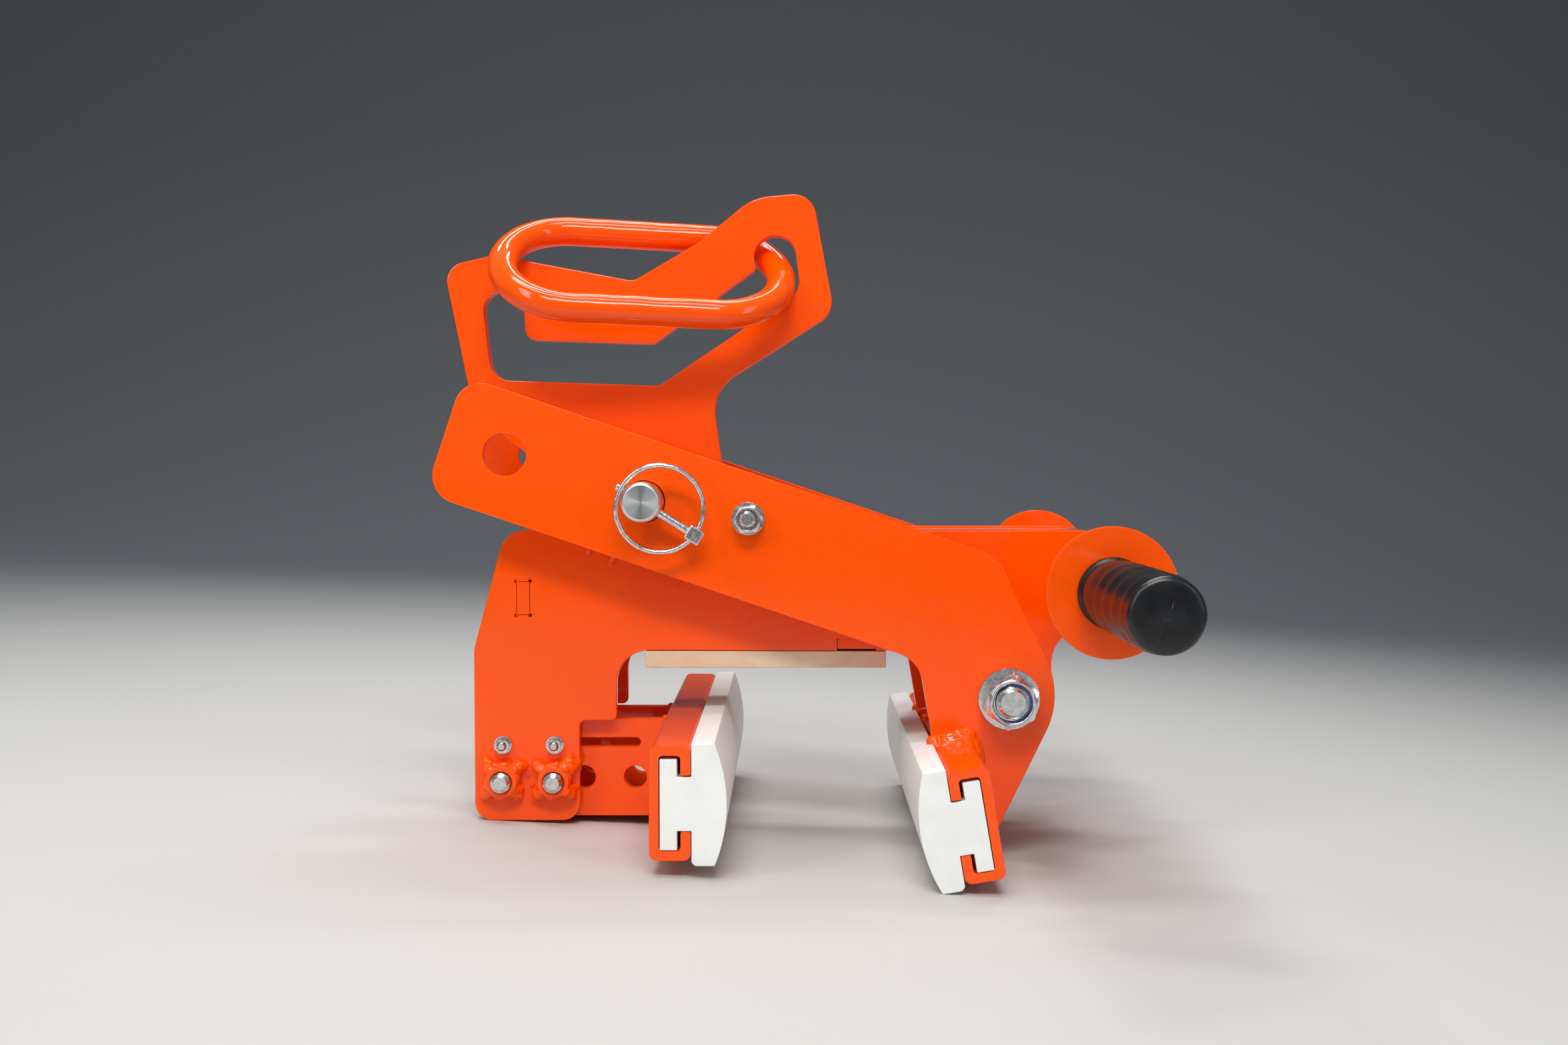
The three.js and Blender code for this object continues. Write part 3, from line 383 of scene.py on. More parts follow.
def outline(bm):
    """A plate's rims as loops of (x, z), the outer one first, each with the metal on its left.
    Points nearer together than 0.3 mm are left out."""
    near = min(v.co.y for v in bm.verts) + 0.01
    bm.normal_update()
    rims = [
        edge
        for edge in bm.edges
        if all(v.co.y < near for v in edge.verts) and edge.calc_face_angle() > rim_above
    ]
    unused = set(rims)
    loops = []
    for edge in rims:
        if edge not in unused:
            continue
        unused.remove(edge)
        loop, vertex = [edge.verts[0]], edge.verts[1]
        while vertex is not loop[0]:
            if (vertex.co - loop[-1].co).length > 0.3:
                loop.append(vertex)
            edge = next(other for other in vertex.link_edges if other in unused)
            unused.remove(edge)
            vertex = edge.other_vert(vertex)
        loops.append([Vector((v.co.x, v.co.z)) for v in loop])

    def area(loop):
        return sum(a.cross(b) for a, b in zip(loop, loop[1:] + loop[:1])) / 2

    loops.sort(key=lambda loop: -abs(area(loop)))
    return [
        loop if (area(loop) > 0) == (loop is loops[0]) else loop[::-1] for loop in loops
    ]


def within(point, loop):
    """True for a point inside a loop."""
    inside = False
    for a, b in zip(loop, loop[1:] + loop[:1]):
        if (a.y > point.y) != (b.y > point.y):
            if point.x < a.x + (point.y - a.y) / (b.y - a.y) * (b.x - a.x):
                inside = not inside
    return inside


def relieved(loop, corner, radius):
    """A loop with a small round cut at one corner, if it has that corner, as a laser leaves it."""
    made, steps = [], 12
    for before, point in zip(loop[-1:] + loop[:-1], loop):
        if (point - corner).length > 0.1:
            made.append(point)
            continue
        start = math.atan2(before.y - point.y, before.x - point.x)
        for k in range(steps + 1):
            angle = start - math.radians(270) * k / steps
            made.append(point + radius * Vector((math.cos(angle), math.sin(angle))))
    return made


def soft_plate(node, width, skip):
    """A plate as thick as its CAD node and with the same outline, its rims rounded by width,
    apart from the points that skip picks out."""
    bm = rounder(cad_copy(node))
    near, far = min(v.co.y for v in bm.verts), max(v.co.y for v in bm.verts)
    loops = [relieved(loop, Vector(tab_relief), relief_radius) for loop in outline(bm)]
    bm.free()
    bm = bmesh.new()
    third = width * (1 - math.sqrt(0.5))
    steps = [(near, width), (near + third, third), (near + width, 0)]
    steps += [(far - width, 0), (far - third, third), (far, width)]
    flats, caps = [], {near: [], far: []}
    for loop in loops:
        ways = []
        for before, point, after in zip(loop[-1:] + loop[:-1], loop, loop[1:] + loop[:1]):
            a, b = (point - before).normalized(), (after - point).normalized()
            way = Vector((-a.y - b.y, a.x + b.x)) / (1 + a.dot(b))
            ways.append(Vector((0, 0)) if skip(point) else way)
        rings = []
        for y, inset in steps:
            flat = [point + way * inset for point, way in zip(loop, ways)]
            rings.append([bm.verts.new((point.x, y, point.y)) for point in flat])
            if inset == width:
                caps[y] += rings[-1]
        flats.append(flat)
        for low, high in zip(rings, rings[1:]):
            for k in range(len(loop)):
                bm.faces.new((low[k - 1], low[k], high[k], high[k - 1]))
    points, edges = [], []
    for flat in flats:
        start, count = len(points), len(flat)
        edges += [(start + k, start + (k + 1) % count) for k in range(count)]
        points += flat
    _, _, faces, sources, _, _ = delaunay_2d_cdt(points, edges, [], 1, 1e-5)
    for face in faces:
        corners = [sources[k][0] for k in face]
        middle = sum((points[k] for k in corners), Vector((0, 0))) / 3
        if not any(within(middle, hole) for hole in flats[1:]):
            for cap in caps.values():
                bm.faces.new([cap[k] for k in corners])
    return bm


def skin(rings, sides=64, looped=False):
    """A skin round +Z through rings of (radius, height), each a number or a function of the
    angle. Looped joins the last ring to the first, and otherwise both ends are closed flat."""
    bm = bmesh.new()
    bmesh.ops.create_circle(bm, segments=sides, radius=1)
    edges, first = bm.edges[:], bm.edges[:]
    for number, (radius, height) in enumerate(rings):
        if number:
            made = bmesh.ops.extrude_edge_only(bm, edges=edges)["geom"]
            fresh = {part for part in made if isinstance(part, bmesh.types.BMVert)}
            edges = [
                part
                for part in made
                if isinstance(part, bmesh.types.BMEdge) and all(v in fresh for v in part.verts)
            ]
        for vertex in {v for edge in edges for v in edge.verts}:
            angle = math.atan2(vertex.co.y, vertex.co.x)
            reach = radius(angle) if callable(radius) else radius
            vertex.co.x, vertex.co.y = reach * math.cos(angle), reach * math.sin(angle)
            vertex.co.z = height(angle) if callable(height) else height
    if looped:
        bmesh.ops.bridge_loops(bm, edges=first + edges)
    else:
        bmesh.ops.edgeloop_fill(bm, edges=first)
        bmesh.ops.edgeloop_fill(bm, edges=edges)
    bmesh.ops.recalc_face_normals(bm, faces=bm.faces)
    return bm


def across(bm, x, z, turn=0.0):
    """Lays a shape made round +Z along the clamp's width, +Z to the back, at x and z."""
    place = Matrix.Translation((x, 0, z)) @ Matrix.Rotation(turn, 4, "Y")
    bmesh.ops.transform(bm, matrix=place @ Matrix.Rotation(-math.pi / 2, 4, "X"), verts=bm.verts)
    return bm


def joined(*shapes):
    """Several shapes as one."""
    bm = bmesh.new()
    for shape in shapes:
        part = bpy.data.meshes.new("part")
        shape.to_mesh(part)
        shape.free()
        bm.from_mesh(part)
        bpy.data.meshes.remove(part)
    return bm


def ring(outer, inner, near, far, edge, sides=64):
    """A washer, tube or disc with rounded edges."""
    made = skin([(inner, near), (outer, near), (outer, far), (inner, far)], sides, looped=True)
    return soften(made, edge)


def hexagon(flats):
    """The radius of a hexagon by angle."""
    sixth = math.pi / 3
    return lambda angle: flats / 2 / math.cos((angle + sixth / 2) % sixth - sixth / 2)


def cornered(flats, end, inwards):
    """The height of a hexagon's end whose corners are turned off at 30 degrees."""
    reach = hexagon(flats)
    slope = inwards * math.tan(math.radians(30))
    return lambda angle: end + slope * (reach(angle) - flats / 2)


def thread(radius, pitch, start, end):
    """Rings of a screw thread from start to end."""
    rings_a_turn, depth = 8, 0.55 * pitch
    count = max(2, round(abs(end - start) / pitch * rings_a_turn))
    rings = []
    for k in range(count + 1):
        height = start + (end - start) * k / count

        def reach(angle, height=height):
            return radius - depth * abs(2 * ((height / pitch - angle / math.tau) % 1) - 1)

        rings.append((reach, height))
    return rings


def screw(radius, pitch, tip, thread_end, head_near, head_far, head_flats, end=0.74):
    """A hexagon-headed screw: a chamfered, threaded end at tip, whose flat face takes up the
    share end of its radius, and its head at the back."""
    chamfer = (1 - end) * radius
    rings = [(end * radius - 0.25, tip + 0.1), (end * radius, tip)]
    rings += [(0.97 * radius, tip + 0.92 * chamfer)]
    rings += thread(radius, pitch, tip + chamfer, thread_end)
    rings += [(radius, thread_end + 0.1), (radius, head_near)]
    washer_face = 0.48 * head_flats
    rings += [(washer_face, head_near), (washer_face, head_near + 0.03 * head_flats)]
    rings += [(hexagon(head_flats), head_near + 0.031 * head_flats)]
    rings += [(hexagon(head_flats), cornered(head_flats, head_far, -1))]
    rings += [(washer_face, head_far), (0.3 * head_flats, head_far - 0.02 * head_flats)]
    return skin(rings)


def nut(flats, bore, near, far, face_share=0.475, turned=0.0):
    """A plain nut, its corners turned off at both ends and its bore countersunk. At its near end
    a cone as deep as turned leaves a round face."""
    face = 0.475 * flats
    rings = [(bore, far - 0.06 * flats), (bore, near + 0.03 * flats), (bore + 0.03 * flats, near)]
    rings += [(face_share * flats, near), (hexagon(flats), cornered(flats, near + turned, 1))]
    rings += [(hexagon(flats), cornered(flats, far, -1)), (face, far)]
    rings += [(bore + 0.05 * flats, far)]
    return skin(rings, looped=True)


def locking_nut(flats, bore, near, far, collar_near):
    """A nut whose collar is rolled in over a nylon ring."""
    base, face = 0.455 * flats, 0.475 * flats
    pocket, tall = base - 0.06 * flats, near - collar_near
    rings = [(bore, far), (bore, near + 0.5), (pocket, near + 0.5), (pocket, near - 0.45 * tall)]
    roll = 0.045 * flats
    middle = 0.385 * flats + roll
    for k in range(7):
        angle = math.pi * k / 6
        rings.append((middle - roll * math.cos(angle), collar_near + roll - roll * math.sin(angle)))
    rings += [(base, near - 0.3 * tall), (base, near - 0.05 * tall), (face, near)]
    rings += [(hexagon(flats), cornered(flats, near, 1))]
    rings += [(hexagon(flats), cornered(flats, far, -1)), (face, far)]
    return skin(rings, looped=True)


def bent_rod(radius, length, spine, rings, sides, swell, wave):
    """A round bar bent to a closed loop. Spine gives, for a distance along it, the middle of the
    bar and the way out of the loop. Its surface wavers by swell, every wave millimetres."""
    steps = [(radius, length * k / rings) for k in range(rings + 1)]
    bm = skin(steps, sides)
    bmesh.ops.delete(bm, geom=[f for f in bm.faces if len(f.verts) > 4], context="FACES_ONLY")
    for vertex in bm.verts:
        middle, out = spine(vertex.co.z)
        place = middle + out * vertex.co.x + Vector((0, 0, vertex.co.y))
        vertex.co = place + (place - middle).normalized() * swell * noise.noise(place / wave)
    bmesh.ops.remove_doubles(bm, verts=bm.verts, dist=0.02)
    bmesh.ops.recalc_face_normals(bm, faces=bm.faces)
    return bm


def pulled(bm, length):
    """Pulls a flat shape to the back by length."""
    out = bmesh.ops.extrude_face_region(bm, geom=bm.faces[:])["geom"]
    moved = [part for part in out if isinstance(part, bmesh.types.BMVert)]
    bmesh.ops.translate(bm, verts=moved, vec=(0, length, 0))
    bmesh.ops.recalc_face_normals(bm, faces=bm.faces)
    return bm


def section(corners, near, length):
    """A flat outline of corners (x, z, radius), pulled along the clamp's width from near."""
    bm = bmesh.new()
    made = [bm.verts.new((x, near, z)) for x, z, _ in corners]
    bm.faces.new(made)
    for vertex, (_, _, radius) in zip(made, corners):
        if radius:
            bmesh.ops.bevel(
                bm, geom=[vertex], offset=radius, segments=6, profile=0.5,
                affect="VERTICES", material=-1,
            )
    return pulled(bm, length)


def lay(node, bm, finish, x=0.0, z=0.0, degrees=0):
    """A node's piece from a shape made round +Z, laid across the clamp at x and z."""
    stand_in(node, across(bm, x, z, math.radians(degrees)), finish)


def front_and_rear(inner, thickness):
    """The two sides' names, each with the near end of a piece that starts inner from the middle
    and is as thick as thickness."""
    return ("front", -inner - thickness), ("rear", inner)


# Plates: the CAD outlines with the soft edges that the coat gives, apart from the slots that a tab
# fills, as (left, right, low, high)
end_tab = (-243.9, -236.9, 38.4, 55.4)
floor_tab = (-83.0, -63.4, 21.0, 27.0)
tab_relief, relief_radius = (-83.0, 27.0), 0.8


def by_tab(point, reach=1.5):
    """True for a point of a plate's outline that lies at a tab."""
    return any(
        left - reach < point.x < right + reach and low - reach < point.y < high + reach
        for left, right, low, high in (end_tab, floor_tab)
    )


for node, width in (
    ("frame_plate_front", 0.7),
    ("frame_plate_rear", 0.7),
    ("arm_plate_front", 0.5),
    ("arm_plate_rear", 0.5),
    ("suspension_plate", 0.9),
):
    stand_in(node, soft_plate(node, width, by_tab), "powder_coat")
for node, width in (("frame_top_plate", 0.5), ("frame_floor_plate", 0.4), ("carrier", 0.7)):
    stand_in(node, soften(rounder(cad_copy(node)), width), "powder_coat")
stand_in("frame_end_plate", soften(cad_copy("frame_end_plate"), 0.15), "powder_coat")

# The coat bridges the floor plate's joint above and to the right of each tab
for side in (-1, 1):
    shapes = []
    for left, right, low, high in ((-82.0, -63.4, 26.3, 27.1), (-63.8, -63.3, 21.5, 27.1)):
        strip = bmesh.new()
        size = Matrix.Diagonal((right - left, 3.9, high - low, 1))
        middle = ((left + right) / 2, side * (frame_outer - 2.1), (low + high) / 2)
        bmesh.ops.create_cube(strip, size=1, matrix=Matrix.Translation(middle) @ size)
        shapes.append(soften(strip, 0.1))
    make_piece(
        f"floor_tab_coat_{'front' if side < 0 else 'rear'}", joined(*shapes), "powder_coat",
        "frame",
    )

# Pivot: bush, M16 bolt, washers and locking nut
pivot_bore, pivot_washer, bush_end = pivot_radius + seat, 3, arm_inner - 0.5
lay("pivot_bush", ring(13.5, pivot_bore, -bush_end, bush_end, 0.4), "powder_coat")
pivot_bolt = screw(pivot_radius, 2, -72.0, -69.5, 57.0, 67.0, 24)
lay("pivot_bolt", pivot_bolt, "zinc_plate", degrees=20)
for side, near in front_and_rear(arm_outer + seat, pivot_washer):
    washer = ring(15, pivot_bore, near, near + pivot_washer, 0.35)
    lay(f"pivot_washer_{side}", washer, "zinc_plate")
pivot_nut = locking_nut(24, pivot_bore, -67.6, -57.0, -70.8)
lay("pivot_nut", pivot_nut, "zinc_plate", degrees=8)


def insert_face(angle):
    """The insert's near face: the bolt has pushed it out at the upper right."""
    return -68.1 - 0.9 * math.cos(angle + math.pi / 4)


def insert_bore(angle):
    """The insert's inner radius: it is thickest where it is pushed out."""
    return 8.55 - 0.5 * math.cos(angle + math.pi / 4)


insert_outer, insert_back = 9.5, -67.2
insert = skin(
    [
        (insert_bore, insert_face), (insert_outer, insert_face),
        (insert_outer, insert_back), (insert_bore, insert_back),
    ],
    looped=True,
)
lay("pivot_nut_insert", insert, "nut_insert")

# M8 stop bolt, and the spacer tubes on it and on the lifting pin
stop_bore, stop_washer = stop_radius + seat, 1.6
stop_bolt = screw(stop_radius, 1.25, -65.0, -62.9, 55.6, 60.9, 13)
lay("stop_bolt", stop_bolt, "zinc_plate", stop_x, stop_z, 12)
for side, near in front_and_rear(arm_outer + seat, stop_washer):
    washer = ring(8, stop_bore, near, near + stop_washer, 0.25)
    lay(f"stop_washer_{side}", washer, "zinc_plate", stop_x, stop_z)
stop_nut = locking_nut(13, stop_bore, -60.4, -55.6, -62.8)
lay("stop_nut", stop_nut, "zinc_plate", stop_x, stop_z, 25)
spacer_near = hanger_outer + seat
spacer = arm_inner - seat - spacer_near
for side, near in front_and_rear(spacer_near, spacer):
    stop_tube = ring(6.5, stop_bore, near, near + spacer, 0.3)
    lay(f"stop_tube_{side}", stop_tube, "zinc_plate", stop_x, stop_z)
    pin_tube = ring(14, pin_radius + seat, near, near + spacer, 0.4)
    lay(f"pin_tube_{side}", pin_tube, "powder_coat", pin_x, pin_z)

# Lifting pin: a wide chamfer at the front and a head at the back, both turned
pin_head = arm_outer + seat
pin_rings = [(8.3, -70.4), (9.4, -69.6), (pin_radius, -68.2)]
pin_rings += [(pin_radius, pin_head), (14, pin_head), (14, 57.9), (13.2, 58.7)]
stand_in("lifting_pin", soften(across(skin(pin_rings, 96), pin_x, pin_z), 0.25), "turned_steel")

# Linchpin: drawn along +X from the pin's axis, then laid down its slope
linchpin_y, linchpin_slope, linchpin_head = -63.0, math.radians(32.2), 29.8
along_linchpin = (
    Matrix.Translation((pin_x, linchpin_y, pin_z)) @ Matrix.Rotation(linchpin_slope, 4, "Y")
)
shank = skin([(1.8, -14.4), (2.2, -13.9), (2.2, linchpin_head)], 32)
bmesh.ops.transform(shank, matrix=Matrix.Rotation(math.pi / 2, 4, "Y"), verts=shank.verts)
block = bmesh.new()
bmesh.ops.create_cube(block, size=1, matrix=Matrix.Diagonal((8, 7.4, 7.4, 1)))
soften(block, 0.9, 3)
bmesh.ops.translate(block, verts=block.verts, vec=(linchpin_head, 0, 0))
linchpin = joined(shank, block)
bmesh.ops.transform(linchpin, matrix=along_linchpin, verts=linchpin.verts)
stand_in("linchpin", linchpin, "zinc_plate")

# Ring of the linchpin
ring_radius, ring_wire = 20.9, 1.2


def round_ring(distance):
    """The middle of the ring's wire and the way out of the ring."""
    angle = distance / ring_radius
    out = Vector((math.cos(angle), math.sin(angle), 0))
    return out * ring_radius, out


hoop = bent_rod(ring_wire, math.tau * ring_radius, round_ring, 160, 20, swell=0.14, wave=2.6)
ring_place = (
    along_linchpin
    @ Matrix.Translation((linchpin_head, 0, 0))
    @ Matrix.Rotation(math.asin(3.8 / 37.8), 4, "Z")
    @ Matrix.Rotation(math.radians(5), 4, "Y")
    @ Matrix.Translation((-ring_radius, 0, 0))
    @ Matrix.Rotation(math.pi / 2, 4, "X")
)
bmesh.ops.transform(hoop, matrix=ring_place, verts=hoop.verts)
stand_in("linchpin_ring", hoop, "zinc_plate")

# M10 clamp screws in welded nuts, and M4 guide screws
guide_radius, guide_bore = 2, 2.3
for side, x in zip(("left", "right"), clamp_columns):
    clamp_screw = screw(5, 1.5, -42.0, -30.8, 30.8, 37.2, 16, 0.68)
    lay(f"clamp_screw_{side}", clamp_screw, "zinc_plate", x, clamp_z, 10)
    weld_nut = across(nut(16.6, 5.3, -38.6, -30.6, 0.46, 1.3), x, clamp_z, math.radians(12))
    stand_in(f"weld_nut_{side}", soften(weld_nut, 0.25), "powder_coat")
    guide = [(1.5, -37.0), (1.85, -36.6)] + thread(guide_radius, 0.7, -36.4, -35.0)
    guide += [(guide_radius, -34.8), (guide_radius, 30.8)]
    guide += [(4, 30.8), (4, 32.0), (3.2, 32.8), (1.2, 32.8)]
    lay(f"guide_screw_{side}", skin(guide, 48), "zinc_plate", x, guide_z)
    guide_washer = ring(4.5, guide_bore, -31.7, -30.8, 0.15)
    lay(f"guide_washer_{side}", guide_washer, "zinc_plate", x, guide_z)
    guide_nut = nut(7, guide_bore, -35.4, -32.0)
    lay(f"guide_nut_{side}", guide_nut, "zinc_plate", x, guide_z, 15)

# Handle: tube, guard discs and grips
sleeve_bore = tube_radius + seat
handle_tube = ring(tube_radius, 9.9, -tube_end, tube_end, 0.4, 96)
lay("handle_tube", handle_tube, "powder_coat", handle_x, handle_z)
for side, near in front_and_rear(disc_inner, disc_thickness):
    disc = ring(30, sleeve_bore, near, near + disc_thickness, 0.7, 128)
    lay(f"handle_disc_{side}", disc, "powder_coat", handle_x, handle_z)

grip_start, grip_end = disc_inner + disc_thickness + seat, 223.0
grip_flange, grip_cap, grip_fillet, grip_sides = 16.3, 15.5, 2.8, 96
ribs_from, rib_pitch, rib_count, rib_valley, rib_height = 134.7, 18.2, 5, 15.0, 1.15
ribs_end = grip_end - 4.5
# A rib from its steep side on: (share of the pitch, share of the height)
rib_shape = (
    (0.04, 0.25), (0.1, 0.7), (0.16, 0.95), (0.22, 1.0), (0.3, 0.94),
    (0.42, 0.74), (0.58, 0.42), (0.75, 0.14), (0.9, 0.0), (0.99, 0.0),
)


def seamed(height):
    """The height of the grip's end face, with the groove that its mould's joint leaves."""
    joint, groove = math.radians(107), 0.25
    half_side = math.pi / grip_sides
    return lambda angle: height - groove * (
        abs((angle - joint + math.pi / 2) % math.pi - math.pi / 2) < half_side
    )


def grip(side):
    """A sleeve with a flange at the disc, wide ribs that fall off slowly to the hand's end, and a
    closed end with a small moulding nub."""
    rings = [(sleeve_bore, tube_end + seat), (sleeve_bore, grip_start)]
    rings += [(grip_flange - 0.7, grip_start), (grip_flange, grip_start + 0.7)]
    rings += [(grip_flange, grip_start + 3.2), (grip_flange - 0.6, grip_start + 4.0)]
    rings += [(rib_valley, grip_start + 4.6), (rib_valley, ribs_from - 11.0)]
    rings += [(rib_valley + 0.3, ribs_from - 8.0), (rib_valley, ribs_from - 0.5)]
    for rib in range(rib_count):
        for share, rise in rib_shape:
            height = ribs_from + (rib + share) * rib_pitch
            if height < ribs_end:
                rings.append((rib_valley + rib_height * rise, height))
    for k in range(7):
        angle = math.pi / 2 * k / 6
        radius = grip_cap - grip_fillet * (1 - math.cos(angle))
        rings.append((radius, grip_end - 3.7 + grip_fillet * math.sin(angle)))
    rings += [(10, seamed(grip_end - 0.6)), (6, seamed(grip_end - 0.4))]
    rings += [(2.2, seamed(grip_end - 0.35)), (1.5, grip_end - 0.1), (0.8, grip_end)]
    made = across(skin(rings, grip_sides), handle_x, handle_z)
    if side < 0:
        bmesh.ops.scale(made, vec=(1, -1, 1), verts=made.verts)
    return made


stand_in("grip_front", grip(-1), "grip_rubber")
stand_in("grip_rear", grip(1), "grip_rubber")

# Jaws: a lipped channel and a T-headed pad, drawn with the channel's upper back corner at zero
lip_end = 13.25
wall, lip_wall = 4.4, 4.6


def channel():
    """The folded channel, from its corners as (x, z, radius)."""
    deep, high = -channel_depth, -channel_height
    corners = [
        (0, 0, 3.5), (0, high, 3.5), (deep, high, 3.5), (deep, high + lip_end, 0.9),
        (deep + lip_wall, high + lip_end, 0.9), (deep + lip_wall, high + wall, 1.8),
        (-wall, high + wall, 1.8), (-wall, -wall, 1.8), (deep + lip_wall, -wall, 1.8),
        (deep + lip_wall, -lip_end, 0.9), (deep, -lip_end, 0.9), (deep, 0, 3.5),
    ]
    return soften(section(corners, -jaw_length / 2, jaw_length), 0.4)


def pad():
    """The pad: its head in the channel, its neck between the lips and its bulging face."""
    head_back, head_front = -wall - 0.4, -wall - 8.2
    body_back, face = -channel_depth - seat, -channel_depth - 10.7
    top, head_top, neck_top, neck_foot, head_foot, foot = 1.2, -5.9, -13.95, -38.25, -46.9, -54.0
    bevel = 1.6
    corners = [
        (head_back, head_top), (head_front, head_top), (head_front, neck_top),
        (body_back, neck_top), (body_back, top), (face, top), (face, foot),
        (body_back - bevel, foot), (body_back, foot + bevel), (body_back, neck_foot),
        (head_front, neck_foot), (head_front, head_foot), (head_back, head_foot),
    ]
    bm = bmesh.new()
    bm.faces.new([bm.verts.new((x, -jaw_length / 2, z)) for x, z in corners])
    front = [e for e in bm.edges if all(abs(v.co.x - face) < 0.01 for v in e.verts)]
    bmesh.ops.subdivide_edges(bm, edges=front, cuts=23)
    rise, half = 5.5, (top - foot) / 2
    radius = half * half / (2 * rise) + rise / 2
    for vertex in bm.verts:
        if abs(vertex.co.x - face) < 0.01:
            up = vertex.co.z - (top + foot) / 2
            vertex.co.x = face - rise + radius - math.sqrt(radius * radius - up * up)
    return soften(pulled(bm, jaw_length), 0.4)


def pad_bolt(y):
    """A low round-headed screw with a hexagon socket, in the channel's back."""
    rings = [(3, -11), (3, 0.2), (4.6, 0.2), (4.7, 0.6), (4.2, 1.1), (3.2, 1.4)]
    rings += [(hexagon(3.6), 1.45), (hexagon(3.6), -0.6)]
    bm = skin(rings, 48)
    place = Matrix.Translation((0, y, -channel_height / 2)) @ Matrix.Rotation(math.pi / 2, 4, "Y")
    bmesh.ops.transform(bm, matrix=place, verts=bm.verts)
    return bm


fixed_place = Matrix.Translation((-169.5, 0, -11.4)) @ Matrix.Rotation(math.pi, 4, "Z")
moving_place = Matrix.Translation((-18.1, 0, -19.9)) @ Matrix.Rotation(-jaw_tilt, 4, "Y")
bolt_reach = 100  # from the middle; the fixed jaw is turned round, so its sides change over
for jaw, place, sides in (
    ("fixed", fixed_place, ("rear", "front")),
    ("moving", moving_place, ("front", "rear")),
):
    shapes = [
        (f"{jaw}_jaw_channel", channel(), "powder_coat"),
        (f"{jaw}_jaw_pad", pad(), "jaw_pad"),
    ]
    for side, y in zip(sides, (-bolt_reach, bolt_reach)):
        shapes.append((f"{jaw}_pad_bolt_{side}", pad_bolt(y), "zinc_plate"))
    for node, shape, finish in shapes:
        bmesh.ops.transform(shape, matrix=place, verts=shape.verts)
        stand_in(node, shape, finish)

# Plastic rest with its countersunk screws
stand_in("rest_pad", soften(cad_copy("rest_pad"), 0.5), "nylon")
for side, x in (("left", -157.1), ("right", -80.4)):
    key = hexagon(4)
    rings = [(key, 2.6), (key, 0.0), (5.2, 0.0), (5.6, 0.3), (3.0, 2.9), (3.0, 14.4)]
    bm = skin(rings, 48)
    bmesh.ops.translate(bm, verts=bm.verts, vec=(x, 0, 12.5))
    stand_in(f"rest_screw_{side}", bm, "zinc_plate")

# Lifting link: an oval of round bar
link_wire, link_width, link_straight = 7.4, 70.0, 71.0
link_turn = math.pi * link_width / 2


def round_link(distance):
    """The middle of the link's bar and the way out of the link, from the right bar's lower end."""
    half = link_width / 2
    if distance < link_straight:
        return Vector((half, distance - link_straight / 2, 0)), Vector((1, 0, 0))
    if distance < link_straight + link_turn:
        angle = (distance - link_straight) / half
        out = Vector((math.cos(angle), math.sin(angle), 0))
        return out * half + Vector((0, link_straight / 2, 0)), out
    if distance < 2 * link_straight + link_turn:
        run = distance - link_straight - link_turn
        return Vector((-half, link_straight / 2 - run, 0)), Vector((-1, 0, 0))
    angle = math.pi + (distance - 2 * link_straight - link_turn) / half
    out = Vector((math.cos(angle), math.sin(angle), 0))
    return out * half - Vector((0, link_straight / 2, 0)), out


link_length = 2 * (link_straight + link_turn)
link = bent_rod(link_wire, link_length, round_link, 200, 40, swell=0.22, wave=11)
link_place = (
    Matrix.Translation((pin_x - 3.4, -14.3, pin_z + 115.4))
    @ Matrix.Rotation(math.radians(2), 4, "Y")
    @ Matrix.Rotation(math.radians(8.9), 4, "Z")
    @ Matrix.Rotation(math.radians(38.9), 4, "X")
    @ Matrix.Rotation(math.pi / 2, 4, "Z")
)
bmesh.ops.transform(link, matrix=link_place, verts=link.verts)
stand_in("lifting_link", link, "powder_coat")

# Welds: balls of metal along each run, melted together


def weld(name, body, seed, runs, grain=0.5, ripple=0.25, wave=2.0, flows=3):
    """Runs are (points, radius or radii): balls of about that radius follow the points. Ripple is
    the height of the small bumps that are left as the metal sets, wave their distance, and flows
    is how often the surface is evened out first."""
    chance = random.Random(seed)
    bm = bmesh.new()
    for points, size in runs:
        sizes = size if isinstance(size, tuple) else (size,) * len(points)
        for a, b, size_a, size_b in zip(points, points[1:], sizes, sizes[1:]):
            a, b = Vector(a), Vector(b)
            count = max(1, round((b - a).length / (0.27 * (size_a + size_b))))
            for k in range(count + 1):
                radius = size_a + (size_b - size_a) * k / count
                wander = Vector([chance.uniform(-1, 1) for _ in range(3)]) * 0.14 * radius
                bmesh.ops.create_icosphere(
                    bm, subdivisions=2, radius=radius * chance.uniform(0.86, 1.12),
                    matrix=Matrix.Translation(a.lerp(b, k / count) + wander),
                )
    mesh = bpy.data.meshes.new(name)
    bm.to_mesh(mesh)
    bm.free()
    lump = bpy.data.objects.new(name + "_balls", mesh)
    bpy.context.scene.collection.objects.link(lump)
    melt = lump.modifiers.new("melt", "REMESH")
    melt.mode, melt.voxel_size = "VOXEL", grain
    graph = bpy.context.evaluated_depsgraph_get()
    melted = bpy.data.meshes.new_from_object(lump.evaluated_get(graph))
    bpy.data.objects.remove(lump)
    bm = bmesh.new()
    bm.from_mesh(melted)
    for _ in range(flows):
        bmesh.ops.smooth_vert(
            bm, verts=bm.verts, factor=0.5, use_axis_x=True, use_axis_y=True, use_axis_z=True
        )
    bm.normal_update()
    for vertex in bm.verts:
        vertex.co = vertex.co + vertex.normal * ripple * noise.noise(vertex.co / wave)
    make_piece(name, bm, "powder_coat", body)


